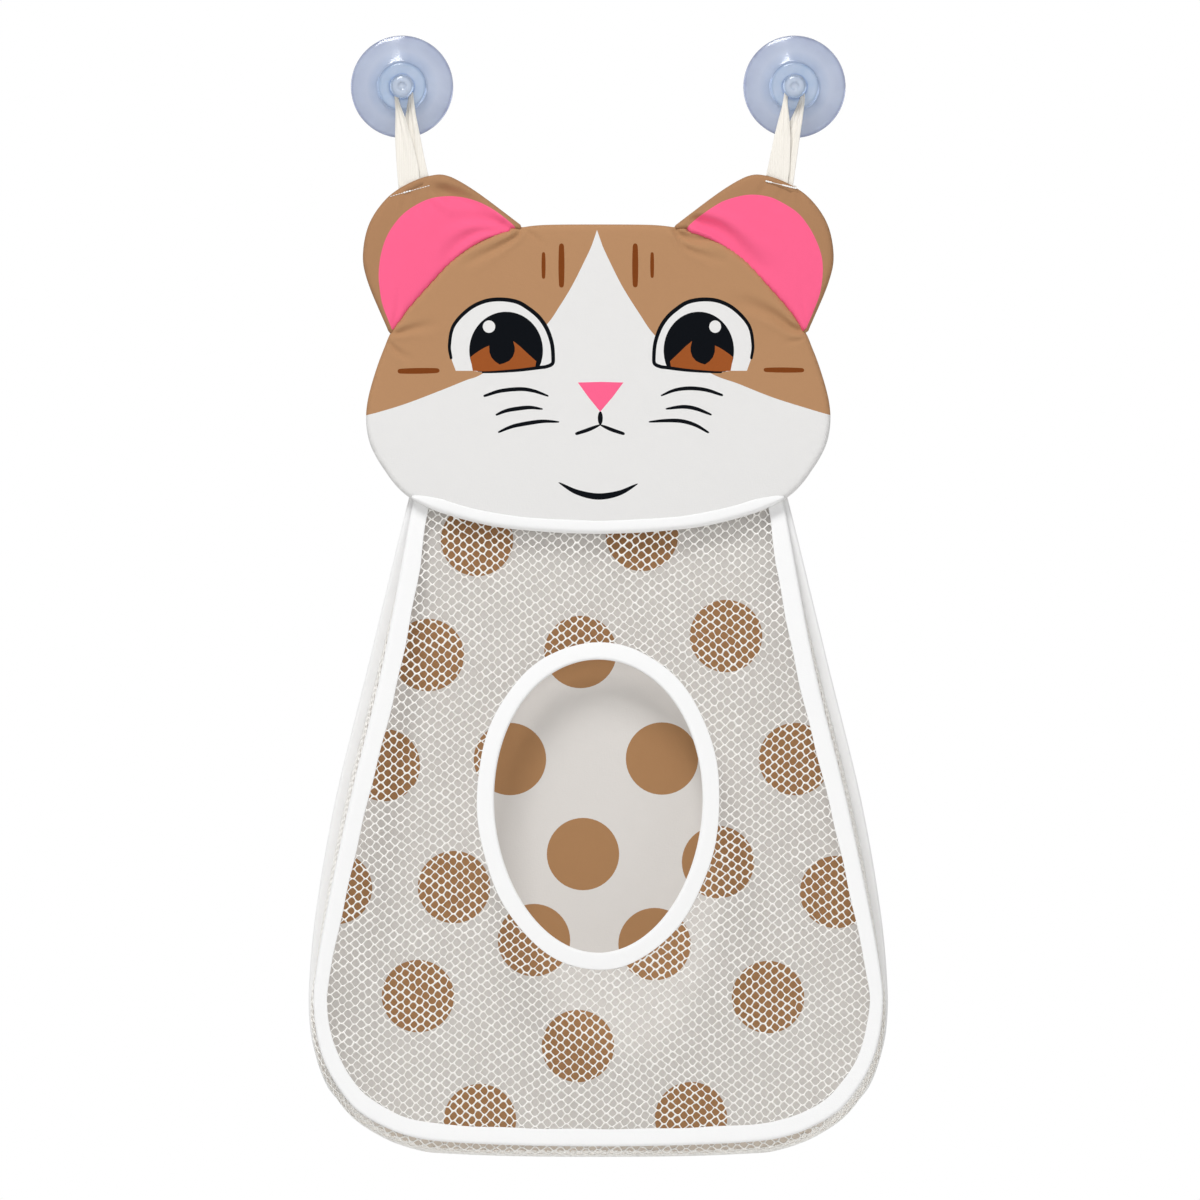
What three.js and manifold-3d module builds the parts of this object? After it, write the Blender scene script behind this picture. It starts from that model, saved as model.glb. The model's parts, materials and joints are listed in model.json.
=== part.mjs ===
// Bath toy organizer: a wedge-shaped mesh bag with a padded head, hung by two tape loops from suction cups.
// Millimetres. +X to the right, +Z up, +Y into the wall. The origin is on the wall, midway between the cups.
import * as THREE from 'three';
import { mergeVertices } from 'three/addons/utils/BufferGeometryUtils.js';
import Module from 'manifold-3d';

const wasm = await Module();
wasm.setup();

// Clearances between pieces that touch, and the overrun of tools that cut right through
const gap = 0.3;
const overrun = 6;

// Suction cup
const cupSpacing = 196.2;
const bellRadius = 25.6;
const rimWidth = 2.2;
const rimThickness = 0.9;
const hollowDepth = 2.4;
const bellHeight = 5.4;
const hubRadius = 12.1;
const hubHeight = 8.6;
const collarRadius = 6.8;
const collarHeight = 9.3;
const neckRadius = 3.6;
const neckLength = 4.7;
const knobRadius = 6.1;
const knobHeight = 5.6;
const cupSides = 32;

// Tape loops
const tapeWidth = 15;
const tapeThickness = 1;
const plyGap = 0.5;
const gatheredWidth = 4;
const gatheredThickness = 1.8;
const gatherStart = 8;
const gatherEnd = 34;
const footRadius = 10;
const footGap = 0.95;
const tailLength = 13;
const tailThickness = 1.9;
const tackLength = 19;
const tackWidth = 1.1;
const tackThickness = 0.7;
const tackDrop = 4.2;
const tackTilt = THREE.MathUtils.degToRad(17);

// Head and ears: two plies of cloth with a hollow between them
const headHalfWidth = 116;
const headHeight = 154.1;
const headDrop = 68.6;
const clothThickness = 0.8;
const shellDepth = 4.6;
const shellBevel = 0.7;
const waddingInset = 4;
const earReach = 54;
const hemEndClearance = 2.4;
const hemWidth = 6.2;

// Bag
const bagTopDrop = 209;
const kneeDrop = 212;
const frontHalfWidth = 142;
const frontHeight = 319.5;
const backOverhang = 3.4;
const backExtraHeight = 5.9;
const backHalfWidth = frontHalfWidth + backOverhang;
const backHeight = frontHeight + backExtraHeight;
const bagDepth = 62;
const wallGap = 0.3;
const bindingWidth = 7.8;
const bindingDepth = 2.7;
const tapeFoldThickness = 0.6;
const frontTail = 10;
const backTail = 9;
const backTopHalfWidth = 78;
const backTopRise = 23;
const backTopFlat = 6;
const backShoulderDrop = 6;

// Nets
const netThickness = 0.9;
const netCell = 12;
const netStrand = 2.6;
const netSelvage = 5;
const gussetInset = 3.6;
const gussetClearance = 0.6;
const gussetColumns = 48;
const gussetStartShare = 0.035;

// Opening in the front net
const openingDrop = 359.4;
const openingHalfWidth = 51.9;
const openingHalfHeight = 73;
const openingBindingWidth = 8.6;
const eggShare = 0.05;

// Outlines, as shares of the sizes that they follow: across, then down
const topNotchShare = [0.323, 0.011];
const sideNotchShare = [0.897, 0.358];
const seamShares = [[0.435, 0.033], [0.541, 0.069], [0.64, 0.125], [0.733, 0.199], [0.827, 0.28]];
const cheekShares = [
  [0.948, 0.454], [0.99, 0.562], [1, 0.64], [0.984, 0.71], [0.947, 0.768], [0.856, 0.861], [0.744, 0.914],
  [0.471, 0.973], [0.2, 0.995], [0, 1],
];
// The ear's rim, along its seam and out from it
const earShares = [
  [0.025, 0.167], [0.086, 0.535], [0.143, 0.77], [0.2, 0.876], [0.328, 0.965], [0.505, 1], [0.69, 0.917],
  [0.838, 0.72], [0.912, 0.498], [0.974, 0.163],
];
const earEntryIndex = 5;
// The bag's edges, across and down from the knee, which lies where the bag comes out from under the head
const frontShares = [
  [0.653, 0], [0.757, 0.249], [0.87, 0.459], [0.953, 0.635], [0.996, 0.741], [1, 0.79], [0.971, 0.875],
  [0.913, 0.923], [0.842, 0.955], [0.749, 0.978], [0.641, 0.993], [0.475, 1], [0.2, 1], [0, 1],
];
const backShares = [
  [0.655, 0], [0.788, 0.245], [0.901, 0.452], [0.97, 0.624], [0.999, 0.741], [0.999, 0.796], [0.97, 0.864],
  [0.913, 0.909], [0.822, 0.953], [0.738, 0.975], [0.626, 0.991], [0.464, 0.999], [0.2, 1], [0, 1],
];

// The head's hem ends beside the tapes of the front
const hemHalfWidth = frontHalfWidth * frontShares[0][0] - bindingWidth - hemEndClearance;

// Depths, measured from the wall
const hangDepth = collarHeight + neckLength / 2;
const headBackY = -hangDepth + shellDepth / 2;
const headFrontY = -hangDepth - shellDepth / 2;
const frontTopY = headBackY + gap + bindingDepth / 2;
const backTopY = frontTopY + bindingDepth + gap;
const backBottomY = -wallGap - bindingDepth / 2;
const frontBottomY = backBottomY - bagDepth;
const frontBottomZ = -bagTopDrop - frontHeight;
const backBottomZ = -bagTopDrop - backHeight;
const cupX = cupSpacing / 2;

// Materials
const clearPvc = new THREE.MeshStandardMaterial({ color: '#b9c9e4', roughness: 0.15, metalness: 0 });
const creamTape = new THREE.MeshStandardMaterial({ color: '#f3eee4', roughness: 0.9, metalness: 0 });
const whiteThread = new THREE.MeshStandardMaterial({ color: '#fafafa', roughness: 0.8, metalness: 0 });
const printedCloth = new THREE.MeshStandardMaterial({ color: '#b08a63', roughness: 0.85, metalness: 0 });
const pinkCloth = new THREE.MeshStandardMaterial({ color: '#ff6b96', roughness: 0.85, metalness: 0 });
const lining = new THREE.MeshStandardMaterial({ color: '#edecea', roughness: 0.9, metalness: 0 });
const foam = new THREE.MeshStandardMaterial({ color: '#f4f2ea', roughness: 1, metalness: 0 });
const whiteTape = new THREE.MeshStandardMaterial({ color: '#f7f7f7', roughness: 0.85, metalness: 0 });
const dottedCloth = new THREE.MeshStandardMaterial({ color: '#d5d2ce', roughness: 0.85, metalness: 0 });
const whiteNet = new THREE.MeshStandardMaterial({ color: '#f2f2f0', roughness: 0.8, metalness: 0 });

const organizer = new THREE.Group();

function add(name, geometry, material) {
  const mesh = new THREE.Mesh(geometry, material);
  mesh.name = name;
  organizer.add(mesh);
}

// Keeps positions only, joins shared corners, drops collapsed triangles and turns the faces outward
function closed(geometry) {
  geometry.deleteAttribute('normal');
  geometry.deleteAttribute('uv');
  const merged = mergeVertices(geometry);
  const position = merged.attributes.position;
  const [a, b, c] = [new THREE.Vector3(), new THREE.Vector3(), new THREE.Vector3()];
  const index = [];
  let volume = 0;
  for (let i = 0; i < merged.index.count; i += 3) {
    const [p, q, r] = [0, 1, 2].map((k) => merged.index.getX(i + k));
    if (p === q || q === r || r === p) continue;
    index.push(p, q, r);
    a.fromBufferAttribute(position, p);
    b.fromBufferAttribute(position, q);
    c.fromBufferAttribute(position, r);
    volume += a.dot(b.cross(c));
  }
  merged.setIndex(volume < 0 ? index.reverse() : index);
  return merged;
}

function toSolid(geometry) {
  const merged = closed(geometry);
  const vertProperties = new Float32Array(merged.attributes.position.array);
  const triVerts = new Uint32Array(merged.index.array);
  return new wasm.Manifold(new wasm.Mesh({ numProp: 3, vertProperties, triVerts }));
}

function toGeometry(solid) {
  const mesh = solid.getMesh();
  const geometry = new THREE.BufferGeometry();
  geometry.setAttribute('position', new THREE.BufferAttribute(new Float32Array(mesh.vertProperties), 3));
  geometry.setIndex(Array.from(mesh.triVerts));
  return closed(geometry);
}

function mirrored(geometry) {
  return closed(geometry.clone().scale(-1, 1, 1));
}

function addPair(name, rightGeometry, material) {
  add(`right_${name}`, rightGeometry, material);
  add(`left_${name}`, mirrored(rightGeometry), material);
}

// A closed body through rings of equal counts of corners. An open run gets the outline of its ends as caps.
function skin(rings, capOutline) {
  const count = rings[0].length;
  const index = [];
  const runs = capOutline ? rings.length - 1 : rings.length;
  for (let i = 0; i < runs; i++) {
    const here = i * count;
    const next = ((i + 1) % rings.length) * count;
    for (let j = 0; j < count; j++) {
      const k = (j + 1) % count;
      index.push(here + j, here + k, next + k, here + j, next + k, next + j);
    }
  }
  if (capOutline) {
    const last = (rings.length - 1) * count;
    for (const [p, q, r] of THREE.ShapeUtils.triangulateShape(capOutline, [])) {
      index.push(p, r, q, last + p, last + q, last + r);
    }
  }
  const geometry = new THREE.BufferGeometry().setFromPoints(rings.flat());
  geometry.setIndex(index);
  return closed(geometry);
}

// A smooth line through hand-chosen points, as evenly spaced points
function smooth(points, count) {
  return new THREE.SplineCurve(points).getSpacedPoints(count);
}

// The unit vectors square to a path, to the left of its run
function normals(path, loop = false) {
  return path.map((point, i) => {
    const last = path.length - 1;
    const before = path[i === 0 ? (loop ? last : 0) : i - 1];
    const after = path[i === last ? (loop ? 0 : last) : i + 1];
    const run = after.clone().sub(before).normalize();
    return new THREE.Vector2(-run.y, run.x);
  });
}

function offset(path, distance, loop = false) {
  const square = normals(path, loop);
  return path.map((point, i) => point.clone().addScaledVector(square[i], distance));
}

// A plate whose outline lies in X and Z and whose back face lies at backY
function plate(outline, backY, thickness, bevel = 0) {
  const geometry = new THREE.ExtrudeGeometry(new THREE.Shape(outline), {
    depth: thickness - 2 * bevel,
    bevelEnabled: bevel > 0,
    bevelThickness: bevel,
    bevelSize: bevel,
    bevelOffset: -bevel,
    bevelSegments: 1,
    curveSegments: 1,
  });
  return geometry.rotateX(Math.PI / 2).translate(0, backY - bevel, 0);
}

// How far the front and the back of the bag lie from the wall at a height
function frontY(z) {
  const share = Math.max(0, (-kneeDrop - z) / (-kneeDrop - frontBottomZ));
  return frontTopY + (frontBottomY - frontTopY) * share;
}

function backY(z) {
  const share = Math.max(0, (-kneeDrop - z) / (-kneeDrop - backBottomZ));
  return backTopY + (backBottomY - backTopY) * share;
}

function leaned(geometry, lean) {
  const position = geometry.attributes.position;
  for (let i = 0; i < position.count; i++) {
    position.setY(i, position.getY(i) + lean(position.getZ(i)));
  }
  return geometry;
}

// Tape folded over an edge: a channel swept along the edge, its legs reaching to the left of the run
function foldedTape(path, width, depth, lean, loop = false) {
  const half = depth / 2;
  const inner = half - tapeFoldThickness;
  const profile = [
    [0, -half], [width, -half], [width, -inner], [tapeFoldThickness, -inner],
    [tapeFoldThickness, inner], [width, inner], [width, half], [0, half],
  ].map(([across, deep]) => new THREE.Vector2(across, deep));
  const square = normals(path, loop);
  const rings = path.map((point, i) => profile.map((corner) => {
    const at = point.clone().addScaledVector(square[i], corner.x);
    return new THREE.Vector3(at.x, corner.y + lean(at.y), at.y);
  }));
  return skin(rings, loop ? null : profile);
}

// Suction cup, turned about its own axis and then set on the wall with the knob facing out
function suctionCup(x) {
  const knobStart = collarHeight + neckLength;
  const knobEnd = knobStart + knobHeight;
  const profile = [
    [0, hollowDepth], [hubRadius, hollowDepth], [bellRadius - rimWidth, 0], [bellRadius, 0],
    [bellRadius, rimThickness], [bellRadius - rimWidth, rimThickness * 2],
    [(bellRadius + hubRadius) / 2, (bellHeight + rimThickness * 2) / 2],
    [hubRadius + rimWidth / 2, bellHeight], [hubRadius, bellHeight + rimThickness],
    [hubRadius - rimThickness, hubHeight], [collarRadius, hubHeight],
    [collarRadius - rimThickness / 2, collarHeight], [neckRadius, collarHeight], [neckRadius, knobStart],
    [knobRadius - rimThickness, knobStart], [knobRadius, knobStart + rimThickness],
    [knobRadius, knobEnd - rimThickness * 2], [knobRadius - rimThickness, knobEnd - rimThickness / 2],
    [knobRadius / 2, knobEnd], [0, knobEnd],
  ].map(([radius, out]) => new THREE.Vector2(radius, out));
  const geometry = new THREE.LatheGeometry(profile, cupSides);
  return closed(geometry.rotateX(Math.PI).translate(x, 0, 0));
}

add('right_suction_cup', suctionCup(cupX), clearPvc);
add('left_suction_cup', suctionCup(-cupX), clearPvc);

// Head outline, from the middle of the top round the right side to the middle of the chin
function headPoint([across, down]) {
  return new THREE.Vector2(across * headHalfWidth, -headDrop - down * headHeight);
}

const topNotch = headPoint(topNotchShare);
const sideNotch = headPoint(sideNotchShare);
const earSeam = smooth([topNotch, ...seamShares.map(headPoint), sideNotch], 12);
const cheek = smooth([sideNotch, ...cheekShares.map(headPoint)], 26);
const headRight = [...earSeam, ...cheek.slice(1)];
const headLeft = headRight.slice(0, -1).reverse().map((p) => new THREE.Vector2(-p.x, p.y));
const headOutline = [...headRight, ...headLeft];

// Ear outline, from the top notch over the rim to the side notch and back beside the seam
const seamRun = sideNotch.clone().sub(topNotch);
const seamLength = seamRun.length();
const alongSeam = seamRun.clone().normalize();
const outFromSeam = new THREE.Vector2(-alongSeam.y, alongSeam.x);

function earPoint([along, out]) {
  const point = topNotch.clone().addScaledVector(alongSeam, along * seamLength);
  return point.addScaledVector(outFromSeam, out * earReach);
}

const earEntry = earPoint(earShares[earEntryIndex - 1]);
const earRim = smooth([topNotch, ...earShares.map(earPoint), sideNotch], 34);
const seamClearance = new THREE.Vector2(gap, gap).multiplyScalar(Math.SQRT2);
const earBase = offset(earSeam, gap * Math.SQRT2);
const earOutline = [
  ...earRim.slice(1, -1),
  sideNotch.clone().add(seamClearance),
  ...earBase.slice(1, -1).reverse(),
  topNotch.clone().add(seamClearance),
];

// A ply turned back at its rim, open at the rear
function turnedPly(outline) {
  const depth = shellDepth - clothThickness - gap;
  const body = toSolid(plate(outline, headBackY - clothThickness - gap, depth, shellBevel));
  const hollow = plate(offset(outline, -clothThickness, true), headBackY, shellDepth - clothThickness);
  return body.subtract(toSolid(hollow));
}

add('head_front_panel', toGeometry(turnedPly(headOutline)), printedCloth);
add('head_back_panel', closed(plate(headOutline, headBackY, clothThickness)), lining);

const hollowDeep = shellDepth - 2 * clothThickness - gap;
const hollowBackY = headBackY - clothThickness - gap;
const waddingOutline = offset(headOutline, -waddingInset, true);
add('head_wadding', closed(plate(waddingOutline, hollowBackY, hollowDeep - gap)), foam);

// Tape loops. In their own frame the neck of the knob is the origin and the tape hangs straight down.
const leanX = cupX - earEntry.x;
const loopLength = Math.hypot(leanX, earEntry.y);
const loopLean = Math.atan2(leanX, -earEntry.y);

const tapeCorners = [[1, 1], [-1, 1], [-1, -1], [1, -1]].map(([x, y]) => new THREE.Vector2(x, y));

function tapeRing(centre, across, run, width, thickness) {
  const through = run.clone().cross(across);
  return tapeCorners.map((corner) => centre.clone()
    .addScaledVector(across, corner.x * width / 2)
    .addScaledVector(through, corner.y * thickness / 2));
}

const wrapRadius = neckRadius + gap + gatheredThickness / 2;

// One ply between the ear and the knob: flat at the ear, gathered and turned edge-on at the neck
function legRing(drop, side) {
  const share = THREE.MathUtils.clamp((drop - gatherStart) / (gatherEnd - gatherStart), 0, 1);
  const turn = (1 - share) * Math.PI / 2;
  const apart = wrapRadius * (1 - Math.min(1, drop / gatherEnd));
  const deep = share * (tapeThickness + plyGap) / 2;
  const centre = new THREE.Vector3(side * apart, side * deep - hangDepth, -drop);
  const across = new THREE.Vector3(Math.cos(turn), -Math.sin(turn), 0);
  const width = THREE.MathUtils.lerp(gatheredWidth, tapeWidth, share);
  const thickness = THREE.MathUtils.lerp(gatheredThickness, tapeThickness, share);
  return tapeRing(centre, across, new THREE.Vector3(0, 0, -side), width, thickness);
}

function archRing(angle) {
  const centre = new THREE.Vector3(-Math.cos(angle) * wrapRadius, -hangDepth, Math.sin(angle) * wrapRadius);
  const run = new THREE.Vector3(Math.sin(angle), 0, Math.cos(angle));
  return tapeRing(centre, new THREE.Vector3(0, -1, 0), run, gatheredWidth, gatheredThickness);
}

function leftLoopRings() {
  const legSteps = 14;
  const archSteps = 8;
  const rings = [];
  for (let i = 0; i < legSteps; i++) rings.push(legRing(loopLength * (1 - i / legSteps), -1));
  for (let i = 0; i <= archSteps; i++) rings.push(archRing(Math.PI * i / archSteps));
  for (let i = 1; i <= legSteps; i++) rings.push(legRing(loopLength * i / legSteps, 1));
  return rings;
}

// Round block about the point where the tape enters the ear: the tape is parted there on its curved face
function entryDisc(radius) {
  const disc = new THREE.CylinderGeometry(radius, radius, hangDepth * 2, cupSides);
  return disc.translate(0, -hangDepth, -loopLength);
}

function onLoop(geometry) {
  return geometry.rotateY(loopLean).translate(cupX, 0, 0);
}

function block(width, deep, high) {
  return new THREE.BoxGeometry(width, deep, high);
}

const wholeLoop = toSolid(mirrored(skin(leftLoopRings(), tapeCorners)));
const partedLoop = wholeLoop.subtract(toSolid(entryDisc(footRadius + gap)));
addPair('loop', onLoop(toGeometry(partedLoop)), creamTape);

const pressedThickness = 2 * tapeThickness + plyGap;
const footPlies = block(tapeWidth, pressedThickness, 4 * footRadius);
const footBlock = toSolid(footPlies.translate(0, -hangDepth, -loopLength));
const footDisc = footBlock.intersect(toSolid(entryDisc(footRadius)));
const earKeepOut = toSolid(plate(offset(earOutline, footGap, true), 0, hangDepth * 2));
const foot = toSolid(onLoop(toGeometry(footDisc))).subtract(earKeepOut);
addPair('loop_foot', toGeometry(foot), creamTape);

// Ears: the rim is open where the tape goes in
const hollowMiddleY = hollowBackY - hollowDeep / 2;
const tapeSlot = block(tapeWidth + 2 * gap, hollowDeep, 2 * footRadius)
  .rotateY(loopLean).translate(earEntry.x, hollowMiddleY, earEntry.y);
addPair('ear_front', toGeometry(turnedPly(earOutline).subtract(toSolid(tapeSlot))), pinkCloth);
addPair('ear_back', closed(plate(earOutline, headBackY, clothThickness)), pinkCloth);

const tailBlock = block(tapeWidth, tailThickness, 2 * tailLength)
  .rotateY(loopLean).translate(earEntry.x, hollowMiddleY, earEntry.y);
const tailRoom = toSolid(plate(offset(earOutline, -gap, true), 0, hangDepth * 2));
addPair('loop_tail', toGeometry(toSolid(tailBlock).intersect(tailRoom)), creamTape);

const tack = block(tackLength, tackThickness, tackWidth)
  .rotateY(tackTilt).translate(earEntry.x, headFrontY - gap - tackThickness / 2, earEntry.y - tackDrop);
addPair('ear_tack', closed(tack), whiteThread);

// White tape folded over the lower edge of the head
const hemSide = cheek.filter((point) => point.x < hemHalfWidth);
const hemCut = cheek[cheek.length - hemSide.length - 1];
const hemShare = (hemHalfWidth - hemSide[0].x) / (hemCut.x - hemSide[0].x);
const hemHalf = [hemSide[0].clone().lerp(hemCut, hemShare), ...hemSide];
const hemPath = [...hemHalf, ...hemHalf.slice(0, -1).reverse().map((p) => new THREE.Vector2(-p.x, p.y))];
const hemEdge = offset(hemPath, tapeFoldThickness + gap).reverse();
const hemDepth = shellDepth + 2 * (gap + tapeFoldThickness);
const hemTape = foldedTape(hemEdge, hemWidth, hemDepth, () => -hangDepth);
add('head_hem_binding', hemTape, whiteTape);

// Edges of the bag, from the left top round the bottom to the right top
function bagEdge(shares, halfWidth, height, tail, count) {
  const at = ([across, down]) => new THREE.Vector2(-across * halfWidth, -bagTopDrop - down * height);
  const knee = at(shares[0]);
  const rise = knee.clone().sub(at(shares[1])).normalize();
  const left = smooth([knee.clone().addScaledVector(rise, tail), ...shares.map(at)], count);
  const right = left.slice(0, -1).reverse().map((p) => new THREE.Vector2(-p.x, p.y));
  return [...left, ...right];
}

const frontEdge = bagEdge(frontShares, frontHalfWidth, frontHeight, frontTail, 34);
const backEdge = bagEdge(backShares, backHalfWidth, backHeight, backTail, 34);
add('front_binding', foldedTape(frontEdge, bindingWidth, bindingDepth, frontY), whiteTape);
add('back_binding', foldedTape(backEdge, bindingWidth, bindingDepth, backY), whiteTape);

// Oval rim of the opening, egg-shaped with the small end down
function opening(spread) {
  const count = 48;
  return Array.from({ length: count }, (_, i) => {
    const angle = 2 * Math.PI * i / count;
    const across = (openingHalfWidth + spread) * Math.sin(angle) * (1 + eggShare * Math.cos(angle));
    return new THREE.Vector2(across, -openingDrop + (openingHalfHeight + spread) * Math.cos(angle));
  });
}

add('opening_binding', foldedTape(opening(0), openingBindingWidth, bindingDepth, frontY, true), whiteTape);

// Front net: a sheet in the plane of the front with six-sided gaps wherever it isn't sewn into tape
function inside(point, outline) {
  let within = false;
  for (let i = 0, j = outline.length - 1; i < outline.length; j = i++) {
    const [a, b] = [outline[i], outline[j]];
    if (a.y > point.y !== b.y > point.y && point.x < a.x + (b.x - a.x) * (point.y - a.y) / (b.y - a.y)) {
      within = !within;
    }
  }
  return within;
}

function hexagon(centre, radius) {
  return Array.from({ length: 6 }, (_, i) => {
    const angle = i * Math.PI / 3;
    return new THREE.Vector2(centre.x + radius * Math.cos(angle), centre.y + radius * Math.sin(angle));
  });
}

const seamAllowance = tapeFoldThickness + gap;
const rowPitch = netCell * Math.sqrt(3);
const columnPitch = netCell * 1.5;
const gapRadius = netCell - netStrand / Math.sqrt(3);

function frontGaps(window, keepOuts) {
  const columns = Math.ceil(frontHalfWidth / columnPitch);
  const rows = Math.ceil(frontHeight / rowPitch) + 1;
  const shapes = [];
  for (let i = -columns; i <= columns; i++) {
    for (let j = 0; j < rows; j++) {
      const stagger = Math.abs(i % 2) / 2;
      const centre = new THREE.Vector2(i * columnPitch, frontBottomZ + (j + stagger) * rowPitch);
      if (!inside(centre, window) || keepOuts.some((outline) => inside(centre, outline))) continue;
      shapes.push(new THREE.Shape(hexagon(centre, gapRadius)));
    }
  }
  const depth = netThickness + 2 * overrun;
  const geometry = new THREE.ExtrudeGeometry(shapes, { depth, bevelEnabled: false });
  return toSolid(geometry.rotateX(Math.PI / 2).translate(0, overrun, 0));
}

function flatSolid(outline, extra) {
  return toSolid(plate(outline, netThickness / 2 + extra, netThickness + 2 * extra));
}

function frontNet() {
  const sheet = flatSolid(offset(frontEdge, seamAllowance), 0)
    .trimByPlane([0, 0, -1], kneeDrop)
    .subtract(flatSolid(offset(headOutline, seamAllowance + gap, true), overrun))
    .subtract(flatSolid(opening(seamAllowance), overrun));
  const edge = bindingWidth - gap;
  const hemShade = offset(headOutline, seamAllowance + gap + netSelvage, true);
  const ovalShade = opening(openingBindingWidth - gap);
  const window = flatSolid(offset(frontEdge, edge), overrun)
    .subtract(flatSolid(hemShade, overrun))
    .subtract(flatSolid(ovalShade, overrun));
  const keep = netStrand / 2;
  const gaps = frontGaps(
    offset(frontEdge, edge + keep),
    [
      offset(headOutline, seamAllowance + gap + netSelvage + keep, true),
      opening(openingBindingWidth + keep),
    ],
  );
  return leaned(toGeometry(sheet.subtract(gaps.intersect(window))), frontY);
}

add('front_mesh', frontNet(), whiteNet);

// Gusset net: a strip from the front tape to the back tape, laid out flat by columns and then bent round
const gussetFront = offset(frontEdge, gussetInset);
const gussetBack = offset(backEdge, gussetInset);
const gussetMargin = (rowPitch + netStrand) / 2;

function alongPath(path, share) {
  const place = THREE.MathUtils.clamp(share, 0, 1) * (path.length - 1);
  const i = Math.min(path.length - 2, Math.floor(place));
  return path[i].clone().lerp(path[i + 1], place - i);
}

function alongLength(path) {
  return path.slice(1).reduce((sum, point, i) => sum + point.distanceTo(path[i]), 0);
}

function gussetEdges(share) {
  const along = gussetStartShare + share * (1 - 2 * gussetStartShare);
  const front = alongPath(gussetFront, along);
  const back = alongPath(gussetBack, along);
  const clear = bindingDepth / 2 + gussetClearance;
  return [
    new THREE.Vector3(front.x, frontY(front.y) + clear, front.y),
    new THREE.Vector3(back.x, backY(back.y) - clear, back.y),
  ];
}

function gussetWidth(share) {
  const [front, back] = gussetEdges(share);
  return front.distanceTo(back);
}

// A point of the strip: share along it, distance from its front edge and distance out of its face
function gussetPoint(share, deep, out) {
  const [front, back] = gussetEdges(share);
  const step = 1 / (gussetColumns * 2);
  const run = gussetEdges(share + step)[0].sub(gussetEdges(share - step)[0]);
  const across = back.clone().sub(front).normalize();
  const square = across.clone().cross(run).normalize();
  return front.addScaledVector(across, deep).addScaledVector(square, out);
}

// How far the gaps of a column of the strip lie from its front edge
function gussetCentres(column) {
  const width = gussetWidth((column + 0.5) / gussetColumns);
  const stagger = (column % 2) / 2;
  const centres = [];
  for (let row = 0; (row + stagger) * rowPitch + gussetMargin <= width - gussetMargin; row++) {
    centres.push((row + stagger) * rowPitch + gussetMargin);
  }
  return centres;
}

// The corners of the strands that run between this column and the next, from the front edge to the back edge
function seamLine(column) {
  if (column < 0 || column >= gussetColumns - 1) {
    const share = (column + 1) / gussetColumns;
    return [[share, 0], [share, gussetWidth(share)]];
  }
  const middle = (column + 1) / gussetColumns;
  const half = 1 / (gussetColumns * 6);
  const width = gussetWidth(middle);
  const line = [[middle, 0]];
  const first = gussetMargin - rowPitch / 2;
  const lean = column % 2 === 0 ? -1 : 1;
  for (let k = 0; first + k * rowPitch / 2 < width - netStrand; k++) {
    const deep = first + k * rowPitch / 2;
    if (deep < netStrand) continue;
    line.push([middle + (k % 2 === 0 ? lean : -lean) * half, deep]);
  }
  line.push([middle, width]);
  return line;
}

function gussetNet() {
  const corners = [];
  const faces = [];
  const known = new Map();
  const number = ([share, deep]) => {
    const key = `${share.toFixed(6)} ${deep.toFixed(4)}`;
    if (!known.has(key)) {
      known.set(key, corners.length);
      corners.push([share, deep]);
    }
    return known.get(key);
  };
  const stripLength = alongLength(gussetFront) * (1 - 2 * gussetStartShare);
  for (let column = 0; column < gussetColumns; column++) {
    const middle = (column + 0.5) / gussetColumns;
    const rim = [...seamLine(column - 1), ...seamLine(column).reverse()];
    const holes = gussetCentres(column).map((deep) => hexagon(new THREE.Vector2(0, deep), gapRadius)
      .map((p) => [middle + p.x / stripLength, p.y]));
    const flat = (list) => list.map(([share, deep]) => new THREE.Vector2(share * stripLength, deep));
    const all = [...rim, ...holes.flat()];
    for (const face of THREE.ShapeUtils.triangulateShape(flat(rim), holes.map(flat))) {
      faces.push(face.map((i) => number(all[i])));
    }
  }
  return thickened(corners, faces, gussetPoint, netThickness);
}

// Two copies of a flat triangulation, one on each face, with walls along its open edges
function thickened(corners, faces, place, thickness) {
  const points = [thickness / 2, -thickness / 2].flatMap((out) => corners.map(([u, v]) => place(u, v, out)));
  const back = corners.length;
  const index = [];
  const open = new Map();
  for (const [a, b, c] of faces) {
    index.push(a, b, c, back + a, back + c, back + b);
    for (const [p, q] of [[a, b], [b, c], [c, a]]) {
      if (!open.delete(`${q} ${p}`)) open.set(`${p} ${q}`, [p, q]);
    }
  }
  for (const [p, q] of open.values()) index.push(q, p, back + p, q, back + p, back + q);
  const geometry = new THREE.BufferGeometry().setFromPoints(points);
  geometry.setIndex(index);
  return closed(geometry);
}

add('gusset_mesh', gussetNet(), whiteNet);

// Back panel: flat in the back tape, its top bent forward to the head's lining
function backPanel() {
  const left = offset(backEdge, seamAllowance).slice(0, backEdge.length / 2);
  const shoulder = -bagTopDrop - backShoulderDrop + backTail;
  const topY = headBackY + gap + clothThickness / 2;
  const topZ = -bagTopDrop + backTopRise;
  const rows = [
    [backTopHalfWidth, topY, topZ],
    [backTopHalfWidth, topY, topZ - backTopFlat],
    [backTopHalfWidth, backTopY, shoulder],
    ...left.filter((p) => p.y < shoulder).map((p) => [-p.x, backY(p.y), p.y]),
  ];
  const half = clothThickness / 2;
  const rings = rows.map(([across, deep, z]) => [
    new THREE.Vector3(-across, deep - half, z), new THREE.Vector3(across, deep - half, z),
    new THREE.Vector3(across, deep + half, z), new THREE.Vector3(-across, deep + half, z),
  ]);
  return skin(rings, tapeCorners);
}

add('back_panel', backPanel(), dottedCloth);

export default organizer;
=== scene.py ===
import json
import math

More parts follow.
